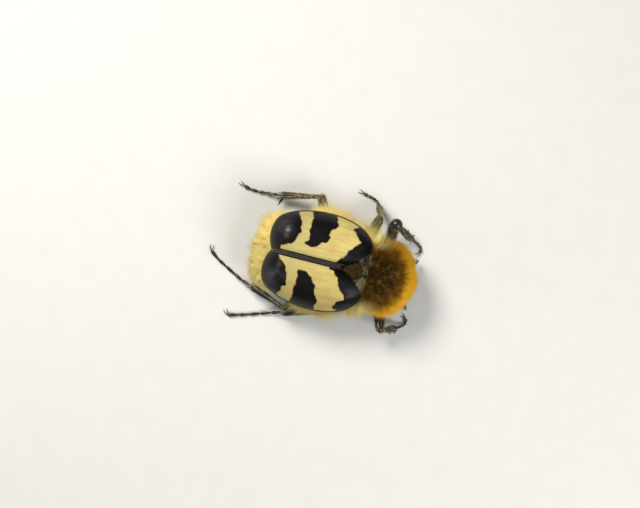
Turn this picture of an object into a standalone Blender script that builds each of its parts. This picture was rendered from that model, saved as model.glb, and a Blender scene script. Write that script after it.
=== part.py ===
"""A bee beetle at life size, standing on its six feet.

Metres, +Z up, +X towards the head, +Y to the beetle's left. The floor is z = 0, and the
origin lies on it in the middle of the model's box. Named sizes below are in millimetres.
"""

import math
import random

import bmesh
import bpy
from mathutils import Matrix, Vector

MM = 0.001

# What keeps two neighbouring pieces apart.
GAP = 0.25

# One wing case seen from above: its rear, front and outer edges, each a curve of four handles.
CASE_REAR = ((-3.08, 0.125), (-3.60, 0.70), (-3.60, 2.00), (-3.00, 2.55))
CASE_FRONT = ((1.95, 0.125), (3.10, 0.70), (4.50, 1.50), (3.50, 2.60))
CASE_OUTER = ((-3.00, 2.55), (-1.60, 3.80), (2.30, 3.95), (3.50, 2.60))
CASE_RISE = 2.40
CASE_MARGIN = 2.70
CASE_REAR_LIFT = 0.50
CASE_FRONT_LIFT = 0.30
CASE_THICK = 0.50
CASE_STEPS = (16, 9)
CASE_TAIL_SHARE = 0.30
CASE_FRONT_DROP = 0.30
# Powers that round its section, its tail and the lift at its two ends.
CASE_ACROSS = (3.0, 0.55)
CASE_BACK = (2.4, 0.6)
CASE_ENDS = (3, 4)
SEAM_DIP = 0.12
SEAM_REACH = 0.40
# Bumps on a wing case: x, y, reach, height.
CASE_BUMPS = ((2.90, 2.25, 0.55, 0.12), (-2.35, 1.85, 0.65, 0.14))

# Sections of the trunk under the wing cases: x, half width, top, belly.
ABDOMEN = (
    (-4.14, 0.80, 2.36, 1.84),
    (-4.02, 1.36, 2.52, 1.62),
    (-3.74, 1.86, 2.66, 1.52),
    (-3.30, 2.20, 2.72, 1.48),
    (-2.55, 2.42, 2.86, 1.48),
    (-1.90, 2.48, 3.55, 1.48),
    (-1.10, 2.66, 4.00, 1.50),
    (-0.25, 2.72, 4.12, 1.52),
)
BREAST = (
    (0.00, 2.72, 4.12, 1.52),
    (1.00, 2.72, 3.98, 1.50),
    (2.00, 2.60, 3.78, 1.50),
    (2.90, 2.18, 3.58, 1.52),
    (3.55, 1.85, 3.50, 1.65),
    (3.85, 1.50, 3.35, 1.85),
)
TRUNK_SIDES = 20
TRUNK_SQUARE = 2.3
TRUNK_WIDEST = 0.52

# The triangular plate between the wing cases' front ends.
SCUTELLUM_AT = (3.00, 0.0, 4.24)
SCUTELLUM_RADIUS = 0.72
SCUTELLUM_THICK = 0.50
SCUTELLUM_TAPER = 0.80
SCUTELLUM_EDGE = 0.10

# The fore breast with its shield: a swollen ball, tipped nose down and cut flat at both ends.
SHIELD_AT = (5.30, 0.0, 3.05)
SHIELD_HALF = (1.92, 2.20, 1.58)
SHIELD_DEPTH = 1.35
SHIELD_PITCH = 14
SHIELD_NARROWING = 0.22
SHIELD_FLATTENING = 0.12
SHIELD_STEPS = (24, 14)
SHIELD_REAR = 4.12
SHIELD_UNDER_COAT = 0.28
COAT_FADE = 1.6

# Locks of the coat: flat, pointed and overlapping, each with its root sunk in what it grows from.
# A lock's stations: share of its length and share of its width there.
LOCK_STATIONS = ((0.0, 0.80), (0.45, 1.00), (0.80, 0.62))
LOCK_WIDTH = 0.78
LOCK_THICK = 0.50
LOCK_SINK = 0.22
LOCK_DROOP = 0.16
LOCK_LEAN = 7
LOCK_VARIES = (0.92, 1.06)
# The shield's locks run away from a crown point at its top rear, in rows at these angles from it.
CROWN = (-0.80, 0.0, 0.60)
SHIELD_ROWS = (36, 53, 70, 87, 104, 121)
SHIELD_LOCK_STEP = 19.0
SHIELD_LOCK_LENGTH = 1.00
SHIELD_LOCK_RISE = 0.50
SHIELD_LOCK_AHEAD = 8
SHIELD_LOCK_FROM = (4.55, 2.45)
# The tail's rows: rear end of the row, height, half span, number, length and rise of its locks.
TAIL_ROWS = (
    (-3.42, 2.56, 1.75, 6, 1.05, 0.10),
    (-3.86, 2.26, 1.70, 6, 0.98, 0.00),
    (-3.90, 1.86, 1.55, 5, 0.92, -0.10),
)
TAIL_BOW = (0.62, 2.5)
TAIL_SPREAD = 0.45
TAIL_ROLL = 0.25
# Side locks: x of each on the left, the same on the right, and the height they grow at.
ABDOMEN_SIDE_LOCKS = ((-3.05, -2.45, -1.80, -1.10), (-2.95, -2.35, -1.75, -1.20))
BREAST_SIDE_LOCKS = ((1.05, 1.60, 2.15), (0.75, 3.00))
SIDE_LOCK_HEIGHT = 2.18
SIDE_LOCK_LENGTH = 1.15
SIDE_LOCK_SWEEP = 0.45

# The head runs down and forward from the shield's front cut.
HEAD_ROOT = (6.35, 0.0, 2.35)
HEAD_DIRECTION = (0.500, 0.0, -0.866)
# Its sections: distance down the head, half width, half depth, shift towards the brow.
HEAD_SECTIONS = (
    (0.00, 0.66, 0.42, -0.04),
    (0.20, 0.84, 0.54, -0.01),
    (0.50, 0.92, 0.59, 0.00),
    (0.82, 0.84, 0.54, 0.03),
    (1.10, 0.72, 0.45, 0.07),
    (1.42, 0.70, 0.35, 0.12),
    (1.62, 0.66, 0.28, 0.15),
    (1.72, 0.52, 0.25, 0.16),
)
HEAD_SIDES = 18
HEAD_SQUARE = 2.4
HEAD_FACET = 0.64
# The notch in the middle of the face's lower edge: half width and depth.
HEAD_NOTCH = (0.16, 0.20)
NOTCH_BLOCK = 2.0
EYE_DOWN = 0.42
EYE_UP = 0.08
EYE_RADIUS = 0.34
EYE_BULGE = 0.28
EYE_STEPS = (16, 10)

# One antenna: distance down the head, sideways and towards the brow for each point of its
# stalk, with the radii there, and the same for the fan at its end.
ANTENNA_POINTS = ((1.28, 0.89, 0.06), (1.28, 1.10, 0.06), (1.24, 1.34, 0.10), (1.22, 1.54, 0.16))
ANTENNA_RADII = (0.20, 0.25, 0.25, 0.24)
FAN_END = (1.62, 1.80, -0.02)
FAN_RADII = (0.24, 0.30, 0.32, 0.24, 0.10)

# Each leg's joints: root on the belly, knee, ankle, then the foot's joints out to its claws.
LEGS = {
    "front_left": {
        "root": (5.05, 0.95, 1.02),
        "knee": (5.08, 4.04, 2.05),
        "ankle": (6.52, 3.22, 0.85),
        "foot": ((7.02, 3.05, 0.40), (7.42, 2.82, 0.22), (7.46, 2.42, 0.20)),
        "claws": (7.14, 2.08, 0.14),
        "spines": ((0.96, (6.80, 3.76, 0.76)), (0.68, (6.30, 3.94, 1.10))),
        "radii": (0.38, 0.40, 0.24, 0.32),
    },
    "front_right": {
        "root": (5.15, -0.95, 1.02),
        "knee": (5.92, -3.78, 2.10),
        "ankle": (7.02, -3.36, 0.85),
        "foot": ((7.45, -3.12, 0.40), (7.72, -2.88, 0.22), (7.62, -2.52, 0.20)),
        "claws": (7.24, -2.30, 0.14),
        "spines": ((0.98, (7.26, -3.86, 0.72)), (0.66, (6.84, -3.98, 1.10))),
        "radii": (0.38, 0.30, 0.24, 0.32),
    },
    "middle_left": {
        "root": (3.15, 1.10, 0.88),
        "knee": (3.94, 4.14, 2.00),
        "ankle": (3.72, 4.92, 0.62),
        "foot": ((3.42, 5.32, 0.26), (3.05, 5.48, 0.21), (2.72, 5.54, 0.20), (2.40, 5.60, 0.20)),
        "claws": (2.00, 5.74, 0.14),
        "radii": (0.40, 0.34, 0.22, 0.30),
    },
    "middle_right": {
        "root": (3.15, -1.10, 0.88),
        "knee": (1.30, -3.62, 1.70),
        "ankle": (-1.25, -4.28, 0.62),
        "foot": ((-2.05, -4.54, 0.34), (-3.00, -4.86, 0.21), (-4.00, -5.20, 0.20), (-5.12, -5.50, 0.20)),
        "claws": (-5.48, -4.98, 0.14),
        "radii": (0.40, 0.34, 0.22, 0.30),
    },
    "hind_left": {
        "root": (0.75, 1.25, 0.88),
        "knee": (-0.52, 4.56, 1.95),
        "ankle": (-3.46, 3.96, 0.80),
        "foot": ((-4.35, 3.90, 0.40), (-5.10, 3.84, 0.21), (-5.75, 3.86, 0.20), (-6.30, 4.00, 0.20)),
        "claws": (-6.85, 4.30, 0.14),
        "spines": ((0.90, (-3.45, 2.95, 0.62)),),
        "radii": (0.44, 0.38, 0.24, 0.34),
    },
    "hind_right": {
        "root": (0.75, -1.25, 0.88),
        "knee": (-1.08, -3.98, 1.90),
        "ankle": (-3.88, -3.00, 0.80),
        "foot": ((-4.85, -2.70, 0.40), (-5.75, -2.24, 0.21), (-6.66, -1.78, 0.20), (-7.42, -1.22, 0.20)),
        "claws": (-7.50, -0.62, 0.14),
        "spines": ((0.90, (-3.70, -1.95, 0.62)),),
        "radii": (0.44, 0.38, 0.24, 0.34),
    },
}
# A leg's radii are those of its thigh, knee, shin and ankle. Along the thigh and the shin, each
# station is a share of the way and a share of the radius there.
THIGH_STATIONS = ((0.22, 0.85), (0.45, 1.00), (0.75, 1.00))
KNEE_END = (0.75, 0.45)
SHIN_START = 0.85
SHIN_STATIONS = ((0.30, 0.0), (0.75, 0.5))
ANKLE_END = 0.10
ANKLE_END_SHARE = 0.60
ROOT_RADIUS = 0.36
FOOT_RADIUS = 0.25
FOOT_START = 0.21
FOOT_WAIST = 0.92
FOOT_SWELLING_AT = 0.55
FOOT_END = (0.20, 0.60)
CLAW_RADIUS = 0.14
CLAW_LENGTH = 0.62
CLAW_SPREAD = 24
SPINE_RADIUS = 0.20
SPIKE_SIDES = 6
SPIKE_TIP = 0.25
LIMB_RESOLUTION = 2
WELD = 0.001
BLOCK_SIZE = 30.0

# Colour and roughness of each finish.
FINISHES = {
    "wing_case": ((0.62, 0.52, 0.20), 0.35),
    "shell": ((0.020, 0.018, 0.018), 0.30),
    "downy": ((0.16, 0.12, 0.05), 0.70),
    "dark_coat": ((0.26, 0.13, 0.03), 0.85),
    "pale_coat": ((0.64, 0.52, 0.26), 0.85),
    "foot": ((0.05, 0.02, 0.012), 0.30),
    "eye": ((0.03, 0.02, 0.015), 0.15),
    "feeler": ((0.10, 0.04, 0.02), 0.45),
}


def mm(*values):
    """A vector given in millimetres."""
    return Vector(values) * MM


def add_material(made, finish):
    """Gives an object a material of its own, in one of the named finishes."""
    colour, roughness = FINISHES[finish]
    material = bpy.data.materials.new(made.name)
    material.use_nodes = True
    shader = material.node_tree.nodes["Principled BSDF"]
    shader.inputs["Base Color"].default_value = (*colour, 1.0)
    shader.inputs["Roughness"].default_value = roughness
    shader.inputs["Metallic"].default_value = 0.0
    made.data.materials.append(material)


def add_object(name, shape, finish=None):
    """Links a bmesh to the scene as a named object."""
    mesh = bpy.data.meshes.new(name)
    bmesh.ops.recalc_face_normals(shape, faces=shape.faces)
    shape.to_mesh(mesh)
    shape.free()
    made = bpy.data.objects.new(name, mesh)
    BEETLE.objects.link(made)
    if finish:
        add_material(made, finish)
    return made


def shade_round(made, angle=50):
    made.data.shade_smooth()
    made.data.set_sharp_from_angle(angle=math.radians(angle))


def loft(rings):
    """A closed body through rings of points. A last ring of one point makes a tip."""
    shape = bmesh.new()
    made = [[shape.verts.new(p) for p in ring] for ring in rings]
    for low, high in zip(made, made[1:]):
        count = len(low)
        for i in range(count):
            j = (i + 1) % count
            if len(high) == 1:
                shape.faces.new((low[i], low[j], high[0]))
            else:
                shape.faces.new((low[i], low[j], high[j], high[i]))
    shape.faces.new(made[0][::-1])
    if len(made[-1]) > 1:
        shape.faces.new(made[-1])
    return shape


def oval(sides, square, half_wide, half_up, half_down):
    """Points (sideways, up) round a squarish oval, up and down halves each of its own height."""
    found = []
    for i in range(sides):
        angle = 2 * math.pi * (i + 0.5) / sides
        c, s = math.cos(angle), math.sin(angle)
        wide = half_wide * math.copysign(abs(c) ** (2 / square), c)
        tall = (half_up if s > 0 else half_down) * math.copysign(abs(s) ** (2 / square), s)
        found.append((wide, tall))
    return found


def cubic(handles, t):
    """The point at t on the curve of four flat handles."""
    weights = ((1 - t) ** 3, 3 * t * (1 - t) ** 2, 3 * t * t * (1 - t), t**3)
    return Vector(
        (
            sum(w * h[0] for w, h in zip(weights, handles)),
            sum(w * h[1] for w, h in zip(weights, handles)),
        )
    )


def case_plan(s, t):
    """Where (s from tail to front, t from seam to margin) lies in the wing case's outline."""
    rear, front = cubic(CASE_REAR, t), cubic(CASE_FRONT, t)
    seam = Vector(CASE_REAR[0]).lerp(Vector(CASE_FRONT[0]), s)
    outer = cubic(CASE_OUTER, s)
    corners = Vector(CASE_REAR[0]).lerp(Vector(CASE_FRONT[0]), s).lerp(
        Vector(CASE_REAR[3]).lerp(Vector(CASE_FRONT[3]), s), t
    )
    return rear.lerp(front, s) + seam.lerp(outer, t) - corners


def case_point(s, t):
    """The left wing case's outer surface."""
    x, y = case_plan(s, t)
    across = (1 - t ** CASE_ACROSS[0]) ** CASE_ACROSS[1]
    tail = max(0.0, 1 - s / CASE_TAIL_SHARE)
    back = (1 - tail ** CASE_BACK[0]) ** CASE_BACK[1]
    rear_end, front_end = (1 - s) ** CASE_ENDS[0], s ** CASE_ENDS[1]
    front = 1 - CASE_FRONT_DROP * front_end
    margin = CASE_MARGIN + CASE_REAR_LIFT * rear_end + CASE_FRONT_LIFT * front_end
    z = margin + CASE_RISE * across * back * front
    z -= SEAM_DIP * math.exp(-((y / SEAM_REACH) ** 2)) * back
    for bump_x, bump_y, reach, height in CASE_BUMPS:
        z += height * math.exp(-((x - bump_x) ** 2 + (y - bump_y) ** 2) / reach**2)
    return mm(x, y, z)


def wing_case(side, name):
    """One wing case: a curved sheet, thickened inwards."""
    along, across = CASE_STEPS
    shape = bmesh.new()
    rows = []
    for i in range(along + 1):
        s = 0.5 - 0.5 * math.cos(math.pi * i / along)
        row = []
        for j in range(across + 1):
            point = case_point(s, math.sin(math.pi / 2 * j / across))
            row.append(shape.verts.new((point.x, side * point.y, point.z)))
        rows.append(row)
    for low, high in zip(rows, rows[1:]):
        for j in range(across):
            corners = (low[j], high[j], high[j + 1], low[j + 1])
            shape.faces.new(corners if side > 0 else corners[::-1])
    mesh = bpy.data.meshes.new(name)
    shape.to_mesh(mesh)
    shape.free()
    made = bpy.data.objects.new(name, mesh)
    BEETLE.objects.link(made)
    add_material(made, "wing_case")
    wall = made.modifiers.new("wall", "SOLIDIFY")
    wall.thickness = CASE_THICK * MM
    wall.offset = -1
    shade_round(made)
    return made


def lock(root, lie, up, length):
    """A flat lock: its root, the way it lies, the way its flat faces, and its length, all in mm."""
    lean = CHANCE.uniform(-LOCK_LEAN, LOCK_LEAN)
    up = Vector(up).normalized()
    lie = Matrix.Rotation(math.radians(lean), 3, up) @ Vector(lie).normalized()
    side = up.cross(lie).normalized()
    up = lie.cross(side)
    length *= CHANCE.uniform(*LOCK_VARIES)

    def middle(share):
        return Vector(root) + lie * length * share - up * LOCK_DROOP * length * share**2

    rings = []
    for share, wide in LOCK_STATIONS:
        across = side * wide * LOCK_WIDTH / 2
        deep = up * (0.5 + 0.5 * wide) * LOCK_THICK / 2
        at = middle(share)
        rings.append([p * MM for p in (at + across, at + deep, at - across, at - deep)])
    rings.append([middle(1.0) * MM])
    return add_object("lock", loft(rings))


def half_width(sections, x):
    """The trunk's half width at x."""
    for low, high in zip(sections, sections[1:]):
        if low[0] <= x <= high[0]:
            return low[1] + (high[1] - low[1]) * (x - low[0]) / (high[0] - low[0])
    return 0.0


def side_locks(sections, places):
    """Locks along both sides of the trunk, swept back a little."""
    made = []
    for side, xs in zip((1, -1), places):
        for x in xs:
            root = (x, side * (half_width(sections, x) - LOCK_SINK), SIDE_LOCK_HEIGHT)
            made.append(lock(root, (-SIDE_LOCK_SWEEP, side, 0), (0, 0, 1), SIDE_LOCK_LENGTH))
    return made


def tail_locks():
    """Rows of locks over the tail, spreading backwards."""
    made = []
    for rear, height, span, count, length, rise in TAIL_ROWS:
        for i in range(count):
            share = 2 * i / (count - 1) - 1
            bow = TAIL_BOW[0] * abs(share) ** TAIL_BOW[1]
            root = (rear + bow + LOCK_SINK, share * span, height)
            lie, up = (-1, TAIL_SPREAD * share, rise), (0, TAIL_ROLL * share, 1)
            made.append(lock(root, lie, up, length))
    return made


def trunk(name, sections, finish):
    """A length of the trunk, lofted through its sections."""
    rings = []
    for x, half, top, belly in sections:
        middle = belly + TRUNK_WIDEST * (top - belly)
        ring = oval(TRUNK_SIDES, TRUNK_SQUARE, half, top - middle, middle - belly)
        rings.append([mm(x, y, middle + z) for y, z in ring])
    made = add_object(name, loft(rings), finish)
    shade_round(made)
    return made


def scutellum():
    """A three-sided plate, point to the rear, with rounded edges."""
    shape = bmesh.new()
    bmesh.ops.create_cone(
        shape,
        cap_ends=True,
        segments=3,
        radius1=SCUTELLUM_RADIUS * MM,
        radius2=SCUTELLUM_TAPER * SCUTELLUM_RADIUS * MM,
        depth=SCUTELLUM_THICK * MM,
        matrix=Matrix.Rotation(math.radians(90), 4, "Z"),
    )
    made = add_object("scutellum", shape, "downy")
    made.location = mm(*SCUTELLUM_AT)
    edges = made.modifiers.new("edges", "BEVEL")
    edges.width = SCUTELLUM_EDGE * MM
    edges.segments = 2
    shade_round(made)
    return made


def cut(shape, at, facing):
    """Takes off what lies beyond a plane and closes the cut."""
    everything = shape.verts[:] + shape.edges[:] + shape.faces[:]
    bmesh.ops.bisect_plane(
        shape, geom=everything, dist=1e-9, plane_co=at, plane_no=facing, clear_outer=True
    )
    rim = [e for e in shape.edges if len(e.link_faces) == 1]
    bmesh.ops.holes_fill(shape, edges=rim)


def shield_point(direction, grow=0.0):
    """Where a direction from the fore breast's middle meets its surface, grown by its coat."""
    x, y, z = direction
    front = max(0.0, x)
    above = min(1.0, max(0.0, 0.5 + COAT_FADE * z))
    grow *= above * above * (3 - 2 * above)
    tall = SHIELD_HALF[2] if z > 0 else SHIELD_DEPTH
    place = Vector(
        (
            (SHIELD_HALF[0] + grow) * x,
            (SHIELD_HALF[1] * (1 - SHIELD_NARROWING * front * front) + grow) * y,
            (tall * (1 - SHIELD_FLATTENING * front) + grow) * z,
        )
    )
    tip = Matrix.Rotation(math.radians(SHIELD_PITCH), 3, "Y")
    return (tip @ place + Vector(SHIELD_AT)) * MM


def shield_locks():
    """Rows of locks over the shield, running away from its crown to the front and sides."""
    crown = Vector(CROWN).normalized()
    aside = Vector((0, 1, 0))
    ahead = aside.cross(crown)
    facing_head = Vector(HEAD_DIRECTION)
    made = []
    for row, polar in enumerate(SHIELD_ROWS):
        count = round(360 * math.sin(math.radians(polar)) / SHIELD_LOCK_STEP)
        for i in range(count):
            turn = 2 * math.pi * (i + 0.5 * (row % 2)) / count
            outward = ahead * math.cos(turn) + aside * math.sin(turn)

            def surface(angle):
                towards = crown * math.cos(angle) + outward * math.sin(angle)
                return shield_point(towards, SHIELD_UNDER_COAT) / MM

            here = surface(math.radians(polar))
            beyond = surface(math.radians(polar + SHIELD_LOCK_AHEAD))
            low = here.x < SHIELD_LOCK_FROM[0] or here.z < SHIELD_LOCK_FROM[1]
            if low or (here - Vector(HEAD_ROOT)).dot(facing_head) > -LOCK_THICK:
                continue
            along = (beyond - here).normalized()
            up = (here - Vector(SHIELD_AT)).normalized()
            up = (up - along * up.dot(along)).normalized()
            root = here - up * LOCK_SINK
            made.append(lock(root, along + up * SHIELD_LOCK_RISE, up, SHIELD_LOCK_LENGTH))
    return made


def block(beyond, facing):
    """A large cutting block whose face lies on a plane."""
    shape = bmesh.new()
    turn = Vector(facing).to_track_quat("Z", "Y").to_matrix().to_4x4()
    shift = Matrix.Translation(mm(0, 0, BLOCK_SIZE / 2))
    bmesh.ops.create_cube(
        shape, size=BLOCK_SIZE * MM, matrix=Matrix.Translation(Vector(beyond) * MM) @ turn @ shift
    )
    return add_object("block", shape)


def shield():
    shape = bmesh.new()
    bmesh.ops.create_uvsphere(
        shape,
        u_segments=SHIELD_STEPS[0],
        v_segments=SHIELD_STEPS[1],
        radius=1,
        matrix=Matrix.Rotation(math.radians(90), 4, "Y"),
    )
    for vertex in shape.verts:
        vertex.co = shield_point(vertex.co.normalized(), SHIELD_UNDER_COAT)
    made = add_object("pronotum", shape, "dark_coat")
    combine(made, shield_locks())
    cuts = [block((SHIELD_REAR, 0, 0), (-1, 0, 0)), block(HEAD_ROOT, HEAD_DIRECTION)]
    combine(made, cuts, "DIFFERENCE")


def head_place(down, aside, up):
    """A point of the head by its distance down the face, sideways and towards the brow."""
    axis = Vector(HEAD_DIRECTION).normalized()
    brow = Vector((-axis.z, 0, axis.x))
    return (Vector(HEAD_ROOT) + axis * (GAP + down) + Vector((0, aside, 0)) + brow * up) * MM


def head():
    """The head, with a flat for each eye and a notch in its lower edge."""
    rings = []
    for down, half_wide, half_deep, shift in HEAD_SECTIONS:
        ring = oval(HEAD_SIDES, HEAD_SQUARE, half_wide, half_deep, half_deep)
        rings.append([head_place(down, y, u + shift) for y, u in ring])
    shape = loft(rings)
    for side in (1, -1):
        cut(shape, mm(0, side * HEAD_FACET, 0), Vector((0, side, 0)))
    made = add_object("head", shape, "shell")
    half_wide, deep = HEAD_NOTCH
    end = HEAD_SECTIONS[-1][0]
    corners = ((end - deep, 0), (end + deep, -2 * half_wide), (end + deep, 2 * half_wide))
    ends = (-NOTCH_BLOCK, NOTCH_BLOCK)
    wedge = loft([[head_place(down, aside, up) for down, aside in corners] for up in ends])
    combine(made, [add_object("wedge", wedge)], "DIFFERENCE")


def eye(side, name):
    """A dome standing on the flat at the head's side."""
    shape = bmesh.new()
    around, across = EYE_STEPS
    bmesh.ops.create_uvsphere(shape, u_segments=around, v_segments=across, radius=EYE_RADIUS * MM)
    cut(shape, Vector((0, 0, 0)), Vector((0, -side, 0)))
    for vertex in shape.verts:
        vertex.co.y *= EYE_BULGE / EYE_RADIUS
    made = add_object(name, shape, "eye")
    made.location = head_place(EYE_DOWN, side * (HEAD_FACET + GAP), EYE_UP)
    shade_round(made)
    return made


def tube(name, points, radii, finish=None):
    """A round limb through points in mm, with a radius in mm at each, as a closed mesh."""
    line = bpy.data.curves.new(name, "CURVE")
    line.dimensions = "3D"
    line.bevel_depth = MM
    line.bevel_resolution = LIMB_RESOLUTION
    line.use_fill_caps = True
    spline = line.splines.new("POLY")
    spline.points.add(len(points) - 1)
    for knot, place, radius in zip(spline.points, points, radii):
        knot.co = (*(Vector(place) * MM), 1)
        knot.radius = radius
    holder = bpy.data.objects.new(name + "_line", line)
    BEETLE.objects.link(holder)
    bpy.context.view_layer.update()
    graph = bpy.context.evaluated_depsgraph_get()
    mesh = bpy.data.meshes.new_from_object(holder.evaluated_get(graph))
    shape = bmesh.new()
    shape.from_mesh(mesh)
    bpy.data.objects.remove(holder)
    bpy.data.meshes.remove(mesh)
    bmesh.ops.remove_doubles(shape, verts=shape.verts, dist=WELD * MM)
    return add_object(name, shape, finish)


def spike(at, towards, radius, length):
    """A tapering round spine, its root at one point and its tip in a direction."""
    shape = bmesh.new()
    bmesh.ops.create_cone(
        shape,
        cap_ends=True,
        segments=SPIKE_SIDES,
        radius1=radius * MM,
        radius2=SPIKE_TIP * radius * MM,
        depth=length * MM,
        matrix=Matrix.Translation((0, 0, length * MM / 2)),
    )
    made = add_object("spike", shape)
    turn = Vector(towards).to_track_quat("Z", "Y").to_matrix().to_4x4()
    made.data.transform(Matrix.Translation(Vector(at) * MM) @ turn)
    return made


def combine(core, pieces, operation="UNION"):
    """Joins pieces to a core, or takes them from it, and keeps the largest closed surface."""
    gathered = bpy.data.collections.new(core.name + "_pieces")
    bpy.context.scene.collection.children.link(gathered)
    for piece in pieces:
        gathered.objects.link(piece)
        BEETLE.objects.unlink(piece)
    joint = core.modifiers.new("join", "BOOLEAN")
    joint.operation = operation
    joint.operand_type = "COLLECTION"
    joint.collection = gathered
    joint.solver = "EXACT"
    bpy.context.view_layer.update()
    graph = bpy.context.evaluated_depsgraph_get()
    joined = bpy.data.meshes.new_from_object(core.evaluated_get(graph))
    core.modifiers.clear()
    core.data = joined
    while len(joined.materials) > 1:
        joined.materials.pop()
    for piece in pieces:
        bpy.data.objects.remove(piece)
    bpy.data.collections.remove(gathered)
    keep_largest(core)
    shade_round(core)
    return core


def keep_largest(made):
    shape = bmesh.new()
    shape.from_mesh(made.data)
    left = set(shape.verts)
    groups = []
    while left:
        group, border = set(), [left.pop()]
        while border:
            vertex = border.pop()
            group.add(vertex)
            for edge in vertex.link_edges:
                other = edge.other_vert(vertex)
                if other in left:
                    left.remove(other)
                    border.append(other)
        groups.append(group)
    largest = max(groups, key=len)
    bmesh.ops.delete(shape, geom=[v for v in shape.verts if v not in largest], context="VERTS")
    shape.to_mesh(made.data)
    shape.free()


def antenna(side, name):
    points = [head_place(down, side * aside, up) / MM for down, aside, up in ANTENNA_POINTS]
    stalk = tube(name, points, ANTENNA_RADII, "feeler")
    start = points[-1]
    end = head_place(FAN_END[0], side * FAN_END[1], FAN_END[2]) / MM
    steps = len(FAN_RADII) - 1
    fan = tube(name + "_fan", [start.lerp(end, i / steps) for i in range(steps + 1)], FAN_RADII)
    return combine(stalk, [fan])


def thigh(name, root, knee, thigh_radius, knee_radius):
    along = (knee - root).normalized()
    points, radii = [root], [ROOT_RADIUS]
    for share, size in THIGH_STATIONS:
        points.append(root.lerp(knee, share))
        radii.append(size * thigh_radius)
    beyond, size = KNEE_END
    points += [knee, knee + along * beyond * knee_radius]
    radii += [knee_radius, size * knee_radius]
    return tube(name, points, radii, "shell")


def shin(name, top, ankle, shin_radius, ankle_radius, spines):
    """The shin from under the knee to the ankle, with its spines, each a root and an end."""
    points, radii = [top], [SHIN_START * shin_radius]
    for share, widening in SHIN_STATIONS:
        points.append(top.lerp(ankle, share))
        radii.append(shin_radius + widening * (ankle_radius - shin_radius))
    points += [ankle, ankle + (ankle - top).normalized() * ANKLE_END]
    radii += [ankle_radius, ANKLE_END_SHARE * ankle_radius]
    made = tube(name, points, radii, "shell")
    if spines:
        combine(made, [spike(at, end - at, SPINE_RADIUS, (end - at).length) for at, end in spines])
    return made


def foot(name, start, joints, claws_at):
    """The foot's joints, each a little swollen, with two claws, cut flat where it stands."""
    points, radii = [start], [FOOT_START]
    for low, high in zip([start] + joints, joints):
        points += [low.lerp(high, FOOT_SWELLING_AT), high]
        radii += [FOOT_RADIUS, FOOT_WAIST * FOOT_RADIUS]
    along = (claws_at - joints[-1]).normalized()
    beyond, size = FOOT_END
    points.append(joints[-1] + along * beyond)
    radii.append(size * FOOT_RADIUS)
    made = tube(name, points, radii, "foot")
    claws = []
    for way in (1, -1):
        turned = Matrix.Rotation(math.radians(way * CLAW_SPREAD), 3, "Z") @ along
        claws.append(spike(joints[-1], turned, CLAW_RADIUS, CLAW_LENGTH))
    combine(made, claws)
    return combine(made, [block((0, 0, 0), (0, 0, -1))], "DIFFERENCE")


def leg(name, joints):
    """Thigh, shin and foot of one leg, each a solid of its own and clear of the next."""
    thigh_radius, knee_radius, shin_radius, ankle_radius = joints["radii"]
    root, knee, ankle, claws_at = (Vector(joints[key]) for key in ("root", "knee", "ankle", "claws"))
    thigh(name + "_femur", root, knee, thigh_radius, knee_radius)

    shin_along = (ankle - knee).normalized()
    fold = min((root - knee).angle(shin_along), math.pi / 2)
    aside = (knee_radius + SHIN_START * shin_radius + GAP) / math.sin(fold)
    top = knee + shin_along * max(knee_radius + GAP, aside)
    spines = [(knee.lerp(ankle, share), Vector(end)) for share, end in joints.get("spines", ())]
    shin(name + "_tibia", top, ankle, shin_radius, ankle_radius, spines)

    foot_joints = [Vector(place) for place in joints["foot"]]
    foot_along = (foot_joints[0] - ankle).normalized()
    bend = shin_along.angle(foot_along)
    ahead = (ANKLE_END + GAP + FOOT_START * math.sin(bend)) / math.cos(bend)
    aside = (ankle_radius + GAP + FOOT_START * math.cos(bend)) / math.sin(bend)
    start = ankle + foot_along * (min(ahead, aside) if bend < math.pi / 2 else aside)
    foot(name + "_tarsus", start, foot_joints, claws_at)


for item in list(bpy.data.objects):
    bpy.data.objects.remove(item)
BEETLE = bpy.data.collections.new("bee_beetle")
bpy.context.scene.collection.children.link(BEETLE)
CHANCE = random.Random(5)

wing_case(1, "elytron_left")
wing_case(-1, "elytron_right")
combine(trunk("abdomen", ABDOMEN, "pale_coat"), tail_locks() + side_locks(ABDOMEN, ABDOMEN_SIDE_LOCKS))
combine(trunk("breast", BREAST, "pale_coat"), side_locks(BREAST, BREAST_SIDE_LOCKS))
scutellum()
shield()
head()
for side, word in ((1, "left"), (-1, "right")):
    eye(side, "eye_" + word)
    antenna(side, "antenna_" + word)
for leg_name, joints in LEGS.items():
    leg("leg_" + leg_name, joints)
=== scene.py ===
# A bee beetle at life size, as a still model: its shell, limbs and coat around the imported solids.
# Every size below is in millimetres, and the row's frame is the solids' own: +X to the head,
# +Y to the beetle's left, the floor at z = 0.
import math

import bpy
import numpy as np
from mathutils import Matrix, Vector, kdtree


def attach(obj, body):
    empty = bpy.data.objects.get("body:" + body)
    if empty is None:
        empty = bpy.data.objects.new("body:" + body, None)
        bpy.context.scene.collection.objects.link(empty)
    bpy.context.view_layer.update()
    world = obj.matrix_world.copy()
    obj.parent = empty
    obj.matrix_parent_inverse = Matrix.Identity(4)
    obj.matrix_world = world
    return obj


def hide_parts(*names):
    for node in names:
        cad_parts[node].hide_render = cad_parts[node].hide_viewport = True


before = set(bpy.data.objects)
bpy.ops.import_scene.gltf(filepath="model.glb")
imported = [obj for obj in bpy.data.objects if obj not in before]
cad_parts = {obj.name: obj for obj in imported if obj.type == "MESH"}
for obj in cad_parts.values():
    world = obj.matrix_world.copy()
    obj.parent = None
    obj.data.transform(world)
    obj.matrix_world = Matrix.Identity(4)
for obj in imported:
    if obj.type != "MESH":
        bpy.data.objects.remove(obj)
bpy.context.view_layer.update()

bpy.ops.object.select_all(action="DESELECT")
mm = 0.001
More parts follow.
